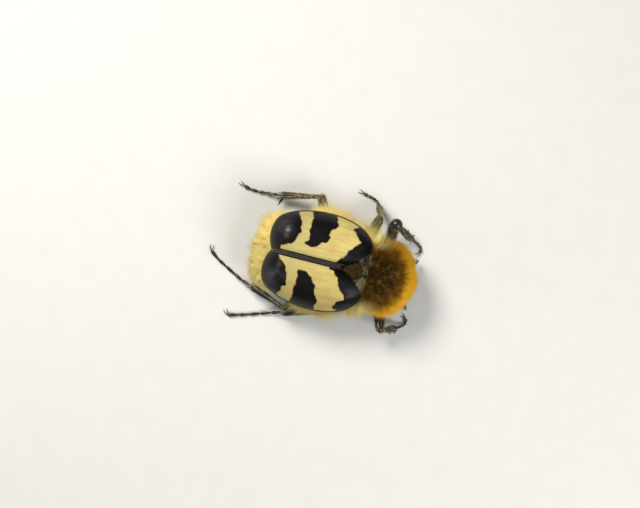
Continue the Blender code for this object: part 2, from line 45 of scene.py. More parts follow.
print("frame loaded:", len(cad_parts), "solids")


# Small helpers for shapes

def unit(ways):
    return ways / np.maximum(np.linalg.norm(ways, axis=-1, keepdims=True), 1e-12)


def ease(x, low, high):
    t = np.clip((x - low) / (high - low), 0, 1)
    return t * t * (3 - 2 * t)


def hump(x, middle, reach):
    return np.exp(-(((x - middle) / reach) ** 2))


def window(x, low, full, past, gone):
    # 0 outside low and gone, 1 from full to past, and eased between them
    return ease(x, low, full) * (1 - ease(x, past, gone))


def streams(x, y, z):
    # rows of three from their parts, each an array or one number for all
    return np.stack(np.broadcast_arrays(x, y, z), 1)


def through(knots, places, at):
    # a smooth curve through rows of numbers that stand at given places
    knots, places = np.asarray(knots, float), np.asarray(places, float)
    slopes = np.gradient(knots, places, axis=0)
    i = np.clip(np.searchsorted(places, at, side="right") - 1, 0, len(places) - 2)
    step = places[i + 1] - places[i]
    t = (at - places[i]) / step
    if knots.ndim > 1:
        t, step = t[:, None], step[:, None]
    start = (2 * t**3 - 3 * t**2 + 1) * knots[i] + (t**3 - 2 * t**2 + t) * step * slopes[i]
    return start + (3 * t**2 - 2 * t**3) * knots[i + 1] + (t**3 - t**2) * step * slopes[i + 1]


def waves(points, length, seed, count=7):
    # a soft wandering value from -1 to 1, the same each run
    chance = np.random.default_rng(seed)
    ways = unit(chance.normal(size=(count, 3))) * 2 * math.pi / length
    total = sum(np.sin(points @ way + chance.uniform(0, 2 * math.pi)) for way in ways)
    return total / count ** 0.5 / 1.4


def slowEnds(v):
    # the same range from 0 to 1, with its rows closer together at both ends
    return 0.5 - 0.5 * np.cos(math.pi * v)


def roundedSquare(u, power):
    # once round: a circle at power 2, and squarer above it
    turn = 2 * math.pi * u
    return [np.sign(value) * np.abs(value) ** (2 / power) for value in (np.cos(turn), np.sin(turn))]


def sharesAlong(points):
    # how far along its path each point is, from 0 to 1, and the length of the path
    steps = np.linalg.norm(np.diff(points, axis=0), axis=1)
    return np.concatenate([[0], np.cumsum(steps)]) / steps.sum(), steps.sum()


def alongSections(sections, v):
    # for v from 0 to 1: how far along a row of sections, how far from its ends, and its values there
    sections = np.array(sections)
    first, last = sections[0, 0], sections[-1, 0]
    at = first + (last - first) * slowEnds(v)
    return at, np.minimum(at - first, last - at), through(sections[:, 1:], sections[:, 0], at).T


def turning(degrees, axis):
    return np.array(Matrix.Rotation(math.radians(degrees), 3, axis))


def treeOf(points):
    # finds the nearest of these points to a place
    tree = kdtree.KDTree(len(points))
    for i, point in enumerate(points):
        tree.insert(point, i)
    tree.balance()
    return tree


def readPoints(made):
    flat = np.empty(len(made.data.vertices) * 3)
    made.data.vertices.foreach_get("co", flat)
    return flat.reshape(-1, 3)


def shapedGrid(name, grid, place, seal=True):
    # a grid from Blender's own primitive, then every point moved to its place in millimetres
    columns, rows = grid
    bpy.ops.mesh.primitive_grid_add(x_subdivisions=columns, y_subdivisions=rows, size=1)
    made = bpy.context.object
    made.name = made.data.name = name
    u, v = readPoints(made)[:, :2].T + 0.5
    points = place(u, v) * mm
    made.data.vertices.foreach_set("co", points.ravel())
    made.data.update()
    if seal:
        sealShape(made)
    made.data.shade_smooth()
    made.select_set(False)
    return made


def editWhole(made):
    # goes into edit mode with the whole mesh selected
    bpy.context.view_layer.objects.active = made
    bpy.ops.object.mode_set(mode="EDIT")
    bpy.ops.mesh.select_all(action="SELECT")


def sealShape(made):
    # merges seams and poles and points the faces outwards
    editWhole(made)
    bpy.ops.mesh.remove_doubles(threshold=0.0002 * mm)
    bpy.ops.mesh.normals_make_consistent(inside=False)
    bpy.ops.object.mode_set(mode="OBJECT")


def joined(name, parts):
    # one piece out of several, each still closed
    bpy.ops.object.select_all(action="DESELECT")
    for part in parts:
        part.select_set(True)
    bpy.context.view_layer.objects.active = parts[0]
    if len(parts) > 1:
        bpy.ops.object.join()
    made = bpy.context.object
    made.name = made.data.name = name
    made.select_set(False)
    return made


def applyModifier(made, kind, **settings):
    bpy.context.view_layer.objects.active = made
    modifier = made.modifiers.new(kind.lower(), kind)
    for key, value in settings.items():
        setattr(modifier, key, value)
    bpy.ops.object.modifier_apply(modifier=modifier.name)


def onBeetle(made, material, slot, *nodes):
    # gives a piece its finish, hangs it under the root body and hides the solids that it stands for
    made.data.materials.clear()
    made.data.materials.append(material)
    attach(made, "root")
    if nodes:
        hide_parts(*nodes)
    return made


def limbPlace(points, wide, deep, facing=(0, 0, 1), power=2.2):
    # the surface of a limb through points, with half widths at each and rounded ends
    points = np.asarray(points, float)
    shares, length = sharesAlong(points)
    firstCap, lastCap = max(wide[0], 0.02) / length, max(wide[-1], 0.02) / length

    def place(u, v):
        v = slowEnds(v)
        at = through(points, shares, v)
        ahead = unit(through(points, shares, v + 0.01) - through(points, shares, v - 0.01))
        aside = unit(np.cross(np.asarray(facing, float), ahead))
        up = np.cross(ahead, aside)
        near = np.minimum(np.minimum(v / firstCap, (1 - v) / lastCap), 1)
        cap = np.sqrt(np.maximum(1 - (1 - near) ** 2, 0))
        across, tall = roundedSquare(u, power)
        across = across * through(wide, shares, v) * cap
        tall = tall * through(deep, shares, v) * cap
        return at + aside * across[:, None] + up * tall[:, None]

    return place


def ballPlace(centre, half):
    # a round or egg-shaped surface about a point
    def place(u, v):
        turn, slope = 2 * math.pi * u, math.pi * v
        ball = np.stack([np.sin(slope) * np.cos(turn), -np.cos(slope), np.sin(slope) * np.sin(turn)], 1)
        return ball * np.array(half) + np.array(centre)

    return place


# Small helpers for finishes

def rgb(*colour):
    # a colour from its 0 to 255 values, as the shader counts it
    return tuple(((c / 255 + 0.055) / 1.055) ** 2.4 if c > 10 else c / 3295 for c in colour) + (1,)


def sign(operation, turned=False):
    # the node that a sign makes of a wire and a number or wire; turned, the wire comes second
    def work(wire, other):
        return wire.maths(operation, other, wire) if turned else wire.maths(operation, wire, other)

    return work


class Wire:
    # one socket of a material, with the maths that Python's signs stand for
    __add__, __radd__ = sign("ADD"), sign("ADD", turned=True)
    __sub__, __rsub__ = sign("SUBTRACT"), sign("SUBTRACT", turned=True)
    __mul__, __truediv__, __pow__ = sign("MULTIPLY"), sign("DIVIDE"), sign("POWER")
    most = sign("MAXIMUM")

    def __init__(self, tree, socket):
        self.tree = tree
        self.socket = socket

    def node(self, kind, settings=None, sockets=None, out=0):
        made = self.tree.nodes.new("ShaderNode" + kind)
        for key, value in (settings or {}).items():
            setattr(made, key, value)
        for key, value in (sockets or {}).items():
            if isinstance(value, Wire):
                self.tree.links.new(value.socket, made.inputs[key])
            else:
                made.inputs[key].default_value = value
        return Wire(self.tree, made.outputs[out])

    def maths(self, operation, *values):
        return self.node("Math", {"operation": operation}, dict(enumerate(values)))

    def size(self):
        return self.maths("ABSOLUTE", self)

    def ease(self, low, high):
        span = {"Value": self, "From Min": low, "From Max": high}
        return self.node("MapRange", {"interpolation_type": "SMOOTHSTEP"}, span)

    def mix(self, *colours):
        # two colours, as wires or 0 to 255 values, with this socket as the share of the second
        first, second = (c if isinstance(c, Wire) else rgb(*c) for c in colours)
        return self.node("Mix", {"data_type": "RGBA"}, {0: self, 6: first, 7: second}, 2)

    def stretch(self, x, y, z):
        scaled = {0: self, 1: (x, y, z)}
        return self.node("VectorMath", {"operation": "MULTIPLY"}, scaled)

    def noise(self, scale, detail=2.0, roughness=0.5):
        values = {"Vector": self, "Scale": scale, "Detail": detail, "Roughness": roughness}
        return self.node("TexNoise", None, values)

    def cells(self, scale, out="Distance"):
        return self.node("TexVoronoi", None, {"Vector": self, "Scale": scale}, out)

    def pits(self, scale, wide=0.45):
        # a height with small round hollows
        return self.cells(scale).ease(0.05, wide)

    def part(self, axis):
        return self.node("SeparateXYZ", None, {0: self}, axis)

    def read(self, name):
        return self.node("Attribute", {"attribute_name": name}, None, "Fac")

    def bump(self, strength, distance):
        values = {"Strength": strength, "Distance": distance * mm, "Height": self}
        return self.node("Bump", None, values)


def newFinish(name, **constants):
    # a material, its shader and the place on the piece in millimetres
    material = bpy.data.materials.new(name)
    material.use_nodes = True
    tree = material.node_tree
    shader = tree.nodes["Principled BSDF"]
    for key, value in constants.items():
        shader.inputs[key.replace("_", " ")].default_value = value
    coordinates = tree.nodes.new("ShaderNodeTexCoord")
    place = Wire(tree, coordinates.outputs["Object"]).stretch(1000, 1000, 1000)
    return material, shader, place


def feed(shader, **wires):
    for key, wire in wires.items():
        wire.tree.links.new(wire.socket, shader.inputs[key.replace("_", " ")])


# Camera, light and floor

studio = {
    "over": (0.36, 0.52),  # the spot that the picture's middle looks at
    "turn": 14.4,  # how far the picture is turned about the upright, in degrees
    "distance": 120.0,
    "sensor": 36.0,
    "viewWidth": 45.7,  # how much of the beetle's level the picture takes in
    "beetleHeight": 3.5,
    "sees": (10.0, 2000.0),  # nearest and farthest
    "floorHalf": 400.0,
    "floorColour": (212, 212, 208),
    "floorSpeckle": 6,  # how much darker its specks are
    "skyColour": (238, 240, 243),
    "skyStrength": 0.26,
    "lampAim": (0.5, 0, 3),
    "lamps": {
        # place, size across, watts and colour
        "keyLamp": ((-52, 44, 84), 46, 0.120, (255, 250, 242)),
        "fillLamp": ((72, -36, 78), 56, 0.088, (248, 247, 246)),
        "rimLamp": ((-90, -40, 35), 50, 0.018, (235, 242, 255)),
    },
}


def setCamera():
    camera = bpy.data.objects.new("camera", bpy.data.cameras.new("camera"))
    bpy.context.scene.collection.objects.link(camera)
    camera.data.sensor_width = studio["sensor"]
    camera.data.lens = studio["sensor"] * studio["distance"] / studio["viewWidth"]
    camera.data.clip_start, camera.data.clip_end = (c * mm for c in studio["sees"])
    x, y = studio["over"]
    camera.location = Vector((x, y, studio["beetleHeight"] + studio["distance"])) * mm
    camera.rotation_euler = (0, 0, math.radians(studio["turn"]))
    bpy.context.scene.camera = camera


def addLamp(name, place, size, power, colour):
    lamp = bpy.data.lights.new(name, "AREA")
    lamp.shape = "DISK"
    lamp.size = size * mm
    lamp.energy = power
    lamp.color = rgb(*colour)[:3]
    holder = bpy.data.objects.new(name, lamp)
    bpy.context.scene.collection.objects.link(holder)
    holder.location = Vector(place) * mm
    way = Vector(studio["lampAim"]) - Vector(place)
    holder.rotation_euler = way.to_track_quat("-Z", "Y").to_euler()


def setStudio():
    setCamera()
    for name, lamp in studio["lamps"].items():
        addLamp(name, *lamp)
    world = bpy.data.worlds.new("sky")
    bpy.context.scene.world = world
    world.use_nodes = True
    background = world.node_tree.nodes["Background"]
    background.inputs["Color"].default_value = rgb(*studio["skyColour"])
    background.inputs["Strength"].default_value = studio["skyStrength"]
    bpy.context.scene.view_settings.view_transform = "Standard"

    bpy.ops.mesh.primitive_plane_add(size=2 * studio["floorHalf"] * mm)
    floor = bpy.context.object
    floor.name = "floor"
    material, shader, place = newFinish("paleFloor", Roughness=0.9)
    speckle = place.noise(0.6, 3)
    light = studio["floorColour"]
    dark = [c - studio["floorSpeckle"] for c in light]
    feed(shader, Base_Color=speckle.mix(light, dark))
    floor.data.materials.append(material)
    floor.select_set(False)


setStudio()
print("studio set")


# Wing cases

wingCase = {
    # the sides of its plan as handles of curves, from the seam outwards and from rear to front
    "rear": ((-3.08, 0.015), (-3.60, 0.70), (-3.60, 2.00), (-3.00, 2.55)),
    "front": ((1.95, 0.015), (3.10, 0.70), (4.50, 1.50), (3.50, 2.60)),
    "outer": ((-3.00, 2.55), (-1.60, 3.80), (2.30, 3.95), (3.50, 2.60)),
    "rise": 2.40,  # from the outer margin's height to the seam's
    "margin": 2.70,
    "rearLift": 0.50,
    "frontLift": 0.30,
    "thick": 0.12,
    "tailShare": 0.30,
    "frontDrop": 0.30,
    "bumps": ((2.90, 2.25, 0.55, 0.14), (-2.35, 1.85, 0.70, 0.17)),  # x, y, reach and height
    "dip": 0.16,  # along the seam
    "dipReach": 0.42,
    "ridgeHalf": 0.19,
    "ridgeHigh": 0.085,
    "grooveAt": 0.245,
    "grooveHalf": 0.06,
    "grooveDeep": 0.035,
    "ribs": 6,
    "ribHigh": 0.006,
    "unevenHigh": 0.012,
    "unevenLong": 1.3,
    "grid": (116, 220),
}

# The black marks on each wing case, seen from above. They differ a little from side to side.
marksLeft = {
    "tail": (
        (-2.60, 0.00), (-2.42, 0.42), (-2.10, 0.62), (-1.73, 0.84), (-1.46, 1.19), (-1.38, 1.64),
        (-1.41, 2.12), (-1.52, 2.58), (-1.78, 2.98), (-2.30, 3.60), (-4.50, 3.20), (-4.50, 0.00),
    ),
    "middle": (
        (-1.00, 4.20), (-0.82, 3.22), (-0.70, 2.90), (-0.76, 2.38), (-0.70, 1.90), (-0.64, 1.30),
        (-0.86, 1.08), (-0.80, 0.94), (-0.42, 0.88), (0.00, 1.02), (0.32, 1.32), (0.62, 1.46),
        (0.76, 1.75), (0.62, 2.02), (0.80, 2.38), (1.02, 2.58), (1.12, 2.88), (0.98, 3.16),
        (0.88, 3.48), (0.80, 4.20),
    ),
    "front": (
        (1.45, 0.00), (1.60, 0.28), (1.92, 0.55), (2.15, 0.88), (2.26, 1.18), (2.58, 1.42),
        (2.74, 1.74), (2.98, 1.96), (2.78, 2.22), (2.58, 2.46), (2.38, 2.68), (2.26, 2.84),
        (2.50, 3.00), (2.75, 3.10), (3.20, 3.60), (5.00, 3.60), (5.00, 0.00),
    ),
}
marksRight = {
    "tail": (
        (-2.60, 0.00), (-2.38, 0.42), (-1.95, 0.72), (-1.70, 1.15), (-1.56, 1.60), (-1.44, 2.02),
        (-1.50, 2.22), (-1.70, 2.36), (-1.72, 2.72), (-1.95, 2.92), (-2.20, 3.40), (-4.50, 3.00),
        (-4.50, 0.00),
    ),
    "middle": (
        (-1.00, 4.00), (-0.95, 3.30), (-0.80, 2.90), (-0.86, 2.42), (-0.80, 1.90), (-0.76, 1.40),
        (-0.86, 0.98), (-0.46, 0.90), (-0.14, 1.00), (0.10, 1.30), (0.50, 1.62), (0.62, 1.84),
        (0.56, 2.04), (0.66, 2.34), (0.88, 2.64), (0.94, 2.92), (0.84, 3.16), (0.72, 4.00),
    ),
    "front": (
        (1.30, 0.00), (1.34, 0.32), (1.62, 0.44), (1.88, 0.74), (2.06, 1.08), (2.18, 1.38),
        (2.46, 1.72), (2.76, 2.02), (2.80, 2.22), (2.52, 2.42), (2.32, 2.62), (2.16, 2.84),
        (2.22, 3.02), (2.60, 3.16), (3.20, 3.60), (5.00, 3.60), (5.00, 0.00),
    ),
}


def cubicCurve(handles, t):
    weights = ((1 - t) ** 3, 3 * t * (1 - t) ** 2, 3 * t * t * (1 - t), t**3)
    return sum(w[:, None] * np.array(h, float) for w, h in zip(weights, handles))


def casePlace(u, v):
    # the left wing case: u runs from seam to margin, v from tail to front
    w = wingCase
    s, t = slowEnds(v), np.sin(math.pi / 2 * u)
    rear, front, outer = cubicCurve(w["rear"], t), cubicCurve(w["front"], t), cubicCurve(w["outer"], s)
    corner = {key: np.array(w[key], float)[[0, -1]] for key in ("rear", "front")}
    s1, t1 = s[:, None], t[:, None]
    seam = corner["rear"][0] * (1 - s1) + corner["front"][0] * s1
    margin = corner["rear"][1] * (1 - s1) + corner["front"][1] * s1
    plan = rear * (1 - s1) + front * s1 + seam * (1 - t1) + outer * t1 - seam * (1 - t1) - margin * t1
    x, y = plan[:, 0], plan[:, 1]
    across = (1 - t**3) ** 0.55
    tail = np.maximum(0, 1 - s / w["tailShare"])
    back = (1 - tail**2.4) ** 0.6
    low = w["margin"] + w["rearLift"] * (1 - s) ** 3 + w["frontLift"] * s**4
    z = low + w["rise"] * across * back * (1 - w["frontDrop"] * s**4)
    z -= w["dip"] * hump(y, 0, w["dipReach"]) * back
    for bumpX, bumpY, reach, high in w["bumps"]:
        z += high * np.exp(-((x - bumpX) ** 2 + (y - bumpY) ** 2) / reach**2)
    along = window(s, 0.02, 0.16, 0.86, 0.97)
    z += w["ridgeHigh"] * np.exp(-((y / w["ridgeHalf"]) ** 4)) * (0.3 + 0.7 * along)
    z -= w["grooveDeep"] * hump(y, w["grooveAt"], w["grooveHalf"])
    ribs = np.cos(2 * math.pi * w["ribs"] * t) * window(t, 0.08, 0.2, 0.75, 0.9)
    z += w["ribHigh"] * ribs * along
    z += w["unevenHigh"] * waves(streams(x, y, 0.0), w["unevenLong"], 3)
    return np.stack([x, y, z], 1)


def awayFrom(points, path):
    # how far each point is from a path
    nearest = np.full(len(points), 1e9)
    for a, b in zip(path, path[1:]):
        way = b - a
        share = np.clip(((points - a) @ way) / max(way @ way, 1e-12), 0, 1)
        nearest = np.minimum(nearest, np.linalg.norm(points - a - share[:, None] * way, axis=1))
    return nearest


def insideBy(points, outline):
    # how far each point is inside a rounded outline, and below zero outside it
    corners = np.array(outline + outline[:1], float)
    count = len(corners)
    corners = through(corners, np.arange(count), np.linspace(0, count - 1, 5 * count))
    inside = np.zeros(len(points), bool)
    for a, b in zip(corners, corners[1:]):
        way = b - a
        crosses = (a[1] > points[:, 1]) != (b[1] > points[:, 1])
        level = a[0] + (points[:, 1] - a[1]) * way[0] / (way[1] if way[1] else 1e-9)
        inside ^= crosses & (points[:, 0] < level)
    return np.where(inside, 1, -1) * awayFrom(points, corners)


def store(made, name, values):
    made.data.attributes.new(name, "FLOAT", "POINT").data.foreach_set("value", values.astype(np.float32))


def makeWingCase(side, name, marks):
    w = wingCase

    def place(u, v):
        # the left case runs the other way round the grid, so that both face outwards
        return casePlace(1 - u if side > 0 else u, v) * (1, side, 1)

    made = shapedGrid(name, w["grid"], place, seal=False)
    plan = readPoints(made)[:, :2] / mm * (1, side)
    store(made, "mark", np.max([insideBy(plan, outline) for outline in marks.values()], axis=0))
    store(made, "seam", plan[:, 1])
    share = np.linspace(0, 1, 60)
    margin = [cubicCurve(w["rear"], share), cubicCurve(w["outer"], share), cubicCurve(w["front"], 1 - share)]
    store(made, "edge", awayFrom(plan, np.concatenate(margin)))
    applyModifier(made, "SOLIDIFY", thickness=w["thick"] * mm, offset=-1)
    return made


wingTones = {
    "cream": (198, 184, 116),
    "streak": (180, 162, 92),
    "blotch": (178, 150, 76),
    "rear": (168, 158, 104),
    # painted shade: a darker cream for the right-hand case, the side away from the light
    "right": (140, 122, 68),
    "fleck": (150, 128, 66),
    "glow": (132, 88, 40),  # a browner edge to the cream beside the black
    "ink": (6, 4, 5),
    # the seam ridge's grey: partly its own dark colour, partly a painted sheen on black
    "ridge": (66, 60, 54),
    "polishAt": (-2.4, 1.75),  # the middle of the polished place on each tail bump
    "polishFades": (0.15, 0.95),
}


def wingFinish():
    material, shader, at = newFinish("wingCaseShell", Coat_Roughness=0.42, Specular_IOR_Level=0.10)
    p = wingTones
    mark, seam, edge = at.read("mark"), at.read("seam"), at.read("edge")
    x, y = at.part("X"), at.part("Y")
    fray = (at.noise(2.8, 0) - 0.5) * 0.22 + (at.noise(8, 0) - 0.5) * 0.06
    black = (mark + fray).ease(-0.025, 0.025)
    rim = 1 - (edge + fray * 0.12).ease(0.085, 0.135)
    besideSeam = 1 - (seam + fray * 0.08).ease(0.205, 0.25)
    dark = black.most(rim).most(besideSeam)
    streaks = at.stretch(0.35, 5, 1).noise(1.0, 3, 0.55)
    pale = streaks.ease(0.34, 0.72).mix(p["cream"], p["streak"])
    overlays = {
        "blotch": at.noise(1.4, 3).ease(0.44, 0.70) * 0.40,
        "rear": (1 - x.ease(-2.6, 2.0)) * 0.7,
        # painted shade: the cream darkened towards the right-hand case
        "right": (1 - y.ease(-3.0, 0.2)) * 0.35,
        "fleck": (1 - at.cells(7).ease(0.0, 0.16)) * 0.14,
        "glow": (mark + fray).ease(-0.10, 0.0) * 0.5,
    }
    for key, share in overlays.items():
        pale = share.mix(pale, p[key])
    # the seam ridge painted grey over the black: its own dark grey with a painted sheen
    ridge = (1 - seam.ease(0.05, 0.17)) * 0.85
    feed(shader, Base_Color=dark.mix(pale, ridge.mix(p["ink"], p["ridge"])))
    grain = at.noise(30, 2)
    feed(shader, Roughness=0.46 - dark * 0.08 + grain * 0.06)
    fromX, fromY = x - p["polishAt"][0], y.size() - p["polishAt"][1]
    polish = 1 - ((fromX * fromX + fromY * fromY) ** 0.5).ease(*p["polishFades"])
    feed(shader, Coat_Weight=(0.06 + dark * (polish * 0.7 + 0.10)) * edge.ease(0.1, 0.7))
    height = at.pits(8.5, 0.42) * 0.8 + grain * 0.3
    feed(shader, Normal=height.bump(0.3, 0.016))
    return material


wingMaterial = wingFinish()
for side, word, marks in ((1, "left", marksLeft), (-1, "right", marksRight)):
    onBeetle(makeWingCase(side, "wing_case_" + word, marks), wingMaterial, "wing_cases", "elytron_" + word)
print("wing cases made")


# Black shell of the head, limbs and underside

def shellFinish(name, colour, sheen, pits, rough=0.30, tint=None):
    material, shader, at = newFinish(name, Coat_Roughness=0.2, Specular_IOR_Level=0.25)
    patch = at.noise(2.5, 3)
    other = tint or tuple(c + 14 for c in colour)
    feed(shader, Base_Color=patch.ease(0.35, 0.7).mix(colour, other))
    feed(shader, Roughness=rough + patch * 0.15)
    feed(shader, Coat_Weight=sheen + patch * 0.2)
    feed(shader, Normal=(at.pits(pits) + at.noise(24, 3) * 0.4).bump(0.45, 0.025))
    return material


blackShell = shellFinish("blackShell", (13, 10, 10), sheen=0.25, pits=9)
legShell = shellFinish("legShell", (20, 15, 12), sheen=0.40, pits=8, rough=0.32, tint=(44, 32, 22))
footShell = shellFinish("footShell", (24, 14, 10), sheen=0.4, pits=14, rough=0.28, tint=(48, 26, 16))


# Scutellum

scutellumPlate = {
    "at": (2.86, 0.0, 4.18),
    "reach": (0.74, 0.66),  # to the rear point and to each side
    "rise": 0.30,
    "thick": 0.34,
    "square": 2.6,
    "narrowing": 0.42,  # towards the rear point
    "tilt": 0.10,
    "grid": (72, 40),
}


def scutellumPlace(u, v):
    # a rounded triangle, domed above and flat below: v runs from its top middle to its underside
    p = scutellumPlate
    turn = 2 * math.pi * u
    rear, half = p["reach"]
    c, s = np.cos(turn), np.sin(turn)
    power = p["square"]
    outline = 1 / (np.abs(c) ** power + np.abs(s) ** power) ** (1 / power)
    narrowing = 1 - p["narrowing"] * ease(-c, 0.1, 1.0)
    slope = math.pi * v
    reach = np.sin(slope) ** 0.7
    up = np.cos(slope)
    x = rear * c * outline * reach
    y = half * s * outline * reach * narrowing
    z = np.where(up > 0, p["rise"] * np.abs(up) ** 0.8, -p["thick"] * np.abs(up) ** 0.5)
    return np.stack([x, y, z + p["tilt"] * x], 1) + np.array(p["at"])


def downyFinish():
    material, shader, at = newFinish("scutellumShell", Roughness=0.7, Specular_IOR_Level=0.2)
    feed(shader, Base_Color=at.noise(4, 3).mix((32, 24, 8), (52, 40, 14)))
    feed(shader, Normal=at.pits(12).bump(0.5, 0.02))
    return material


made = shapedGrid("scutellum_plate", scutellumPlate["grid"], scutellumPlace)
onBeetle(made, downyFinish(), "scutellum", "scutellum")
print("scutellum made")


# Shield of the fore breast

shieldShell = {
    "at": (5.30, 0.0, 3.05),
    "half": (1.92, 2.20, 1.58),
    "depth": 1.35,
    "pitch": 14,
    "narrowing": 0.22,
    "flattening": 0.12,
    "rear": 3.98,  # where its rear is cut flat
    "crown": (-0.80, 0.0, 0.60),  # from its middle to where the hair parts
    "grid": (120, 80),
}
headAt = {
    "root": np.array((6.35, 0.0, 2.35)),
    "axis": np.array((0.500, 0.0, -0.866)),
    "gap": 0.25,
}


def shieldPlace(u, v, grow=0.0):
    # the bare fore breast: u runs round its long axis, v from its rear to its front
    p = shieldShell
    turn, slope = 2 * math.pi * u, math.pi * v
    x, y, z = -np.cos(slope), np.sin(slope) * np.cos(turn), np.sin(slope) * np.sin(turn)
    front = np.maximum(0, x)
    tall = np.where(z > 0, p["half"][2], p["depth"])
    place = np.stack([
        (p["half"][0] + grow) * x,
        (p["half"][1] * (1 - p["narrowing"] * front**2) + grow) * y,
        (tall * (1 - p["flattening"] * front) + grow) * z,
    ], 1)
    return place @ turning(p["pitch"], "Y").T + np.array(p["at"])


def cutFlat(made, at, facing):
    # takes off what lies beyond a plane and closes the cut
    editWhole(made)
    at = tuple(c * mm for c in at)
    bpy.ops.mesh.bisect(plane_co=at, plane_no=facing, use_fill=True, clear_outer=True, threshold=1e-8)
    bpy.ops.object.mode_set(mode="OBJECT")


# Colours of the shield and its coat, seen from above: dark in the middle, golden at the rim. These are the
# hairs' own brown and gold, with painted shade in the middle, where one looks down through the coat onto the
# dark shell, and painted light shining through the hairs at the rim.
shieldTones = {
    "middle": (4.70, 0.0),
    "half": (2.40, 2.80),
    "dark": (60, 38, 6),
    "brown": (124, 78, 8),
    "tan": (255, 166, 0),
    "gold": (255, 206, 12),
    "pale": (255, 228, 96),
    "low": (250, 214, 112),
    "rearDark": (28, 20, 10),
    "rearPale": (150, 140, 100),
    "flank": (236, 214, 142),
    "skin": ((22, 15, 9), (74, 44, 14)),  # in the middle and at the rim
}


def shieldShade(at, noise):
    # the share of the way out from the shield's middle, a little ragged
    p = shieldTones
    across = (at.part("X") - p["middle"][0]) / p["half"][0]
    aside = (at.part("Y") - p["middle"][1]) / p["half"][1]
    return (across * across + aside * aside) ** 0.5 + noise


def shieldFinish():
    material, shader, at = newFinish("shieldShell", Roughness=0.55)
    out = shieldShade(at, (at.noise(3, 3) - 0.5) * 0.2)
    middle, rim = shieldTones["skin"]
    # the bare shell dark in the middle and brown at the rim, with painted shade in the middle as on its coat
    feed(shader, Base_Color=out.ease(0.75, 1.1).mix(middle, rim))
    feed(shader, Normal=at.pits(11).bump(0.5, 0.02))
    return material


made = shapedGrid("shield_shell", shieldShell["grid"], shieldPlace)
cutFlat(made, (shieldShell["rear"], 0, 0), (-1, 0, 0))
cutFlat(made, tuple(headAt["root"]), tuple(headAt["axis"]))
onBeetle(made, shieldFinish(), "shield_coat", "pronotum")
print("shield made")


# Trunk: one skin from the tail to the fore breast

trunkSkin = {
    # x, half width, top, belly
    "sections": (
        (-4.02, 0.30, 2.22, 1.96),
        (-3.96, 0.90, 2.36, 1.78),
        (-3.78, 1.55, 2.60, 1.62),
        (-3.50, 1.92, 2.84, 1.58),
        (-3.10, 2.14, 3.00, 1.56),
        (-2.55, 2.30, 3.14, 1.56),
        (-1.90, 2.38, 3.45, 1.56),
        (-1.10, 2.54, 3.88, 1.56),
        (-0.25, 2.60, 4.00, 1.58),
        (1.00, 2.60, 3.86, 1.58),
        (2.00, 2.48, 3.84, 1.58),
        (2.90, 2.08, 3.92, 1.60),
        (3.55, 1.75, 4.00, 1.74),
        (3.95, 1.45, 4.02, 1.92),
        (4.30, 1.10, 3.80, 2.00),
    ),
    "square": 2.3,
    "widest": 0.52,
    "endRound": 0.06,
    "joints": (-3.45, -2.85, -2.25, -1.65, -1.05, -0.35, 1.75, 3.30),
    "jointDeep": 0.06,
    "jointHalf": 0.05,
    "grid": (130, 230),
}


def trunkPlace(u, v):
    p = trunkSkin
    x, fromEnd, (half, top, belly) = alongSections(p["sections"], np.clip(v, 0, 1))
    middle = belly + p["widest"] * (top - belly)
    closing = np.sqrt(np.clip(fromEnd / p["endRound"], 0, 1))
    across, lift = roundedSquare(u, p["square"])
    across = across * half
    tall = lift * np.where(lift > 0, top - middle, middle - belly)
    below = ease(-np.sin(2 * math.pi * u), -0.5, 0.2)
    groove = sum(hump(x, at, p["jointHalf"]) for at in p["joints"]) * p["jointDeep"] * below
    shrink = (1 - groove) * closing
    return np.stack([x, across * shrink, middle + tall * shrink], 1)


def trunkFinish():
    material, shader, at = newFinish("trunkSkin", Coat_Weight=0.15, Coat_Roughness=0.3)
    patch = at.noise(2.2, 3)
    tailward = 1 - at.part("X").ease(-2.6, -1.4)
    tone = patch.mix((30, 22, 16), (54, 38, 24))
    feed(shader, Base_Color=(tailward * 0.75).mix(tone, (140, 112, 62)))
    feed(shader, Roughness=0.42 + patch * 0.15)
    feed(shader, Normal=at.pits(8).bump(0.5, 0.03))
    return material


made = shapedGrid("trunk_skin", trunkSkin["grid"], trunkPlace)
onBeetle(made, trunkFinish(), "body_coat", "breast", "abdomen")
print("trunk made")


# Head, with its eyes, mouth and feelers

headShape = {
    # distance down the face, half width, half depth, shift towards the brow
    "sections": (
        (-0.60, 0.60, 0.40, -0.06),
        (-0.20, 0.72, 0.46, -0.04),
        (0.20, 0.80, 0.52, -0.01),
        (0.50, 0.84, 0.56, 0.00),
        (0.82, 0.78, 0.52, 0.03),
        (1.10, 0.69, 0.43, 0.07),
        (1.42, 0.68, 0.33, 0.12),
        (1.62, 0.66, 0.25, 0.15),
        (1.74, 0.58, 0.20, 0.16),
    ),
    "square": 2.6,
    "endRound": 0.10,
    "notch": (0.17, 0.17),  # half width and depth
    "rim": (0.05, 0.09, 0.06),  # height, distance from the front edge, reach
    "sideKeel": (0.03, 0.60, 0.07),  # height, distance from the middle, reach
    "browLine": (0.035, 0.80, 0.035),  # depth, distance down the face, reach
    "hollow": (0.05, 0.3, 1.25, 0.3),  # depth, half width, distance down the face, reach
    "grid": (96, 110),
}
eyeShape = {
    "down": 0.42,
    "aside": 0.80,
    "up": 0.06,
    "half": (0.34, 0.34, 0.38),
    "facets": 900,
    "facetDeep": 0.010,
    "sideToRadius": 1.7,  # the side of a square of one facet's area, over the facet's radius
    "grid": (110, 80),
}


def headPoint(down, aside, up):
    # a point of the head by its distance down the face, sideways and towards the brow
    axis = unit(headAt["axis"])
    brow = np.array((-axis[2], 0, axis[0]))
    down, aside, up = (np.asarray(c, float)[..., None] for c in (down, aside, up))
    return headAt["root"] + axis * (headAt["gap"] + down) + np.array((0, 1, 0)) * aside + brow * up


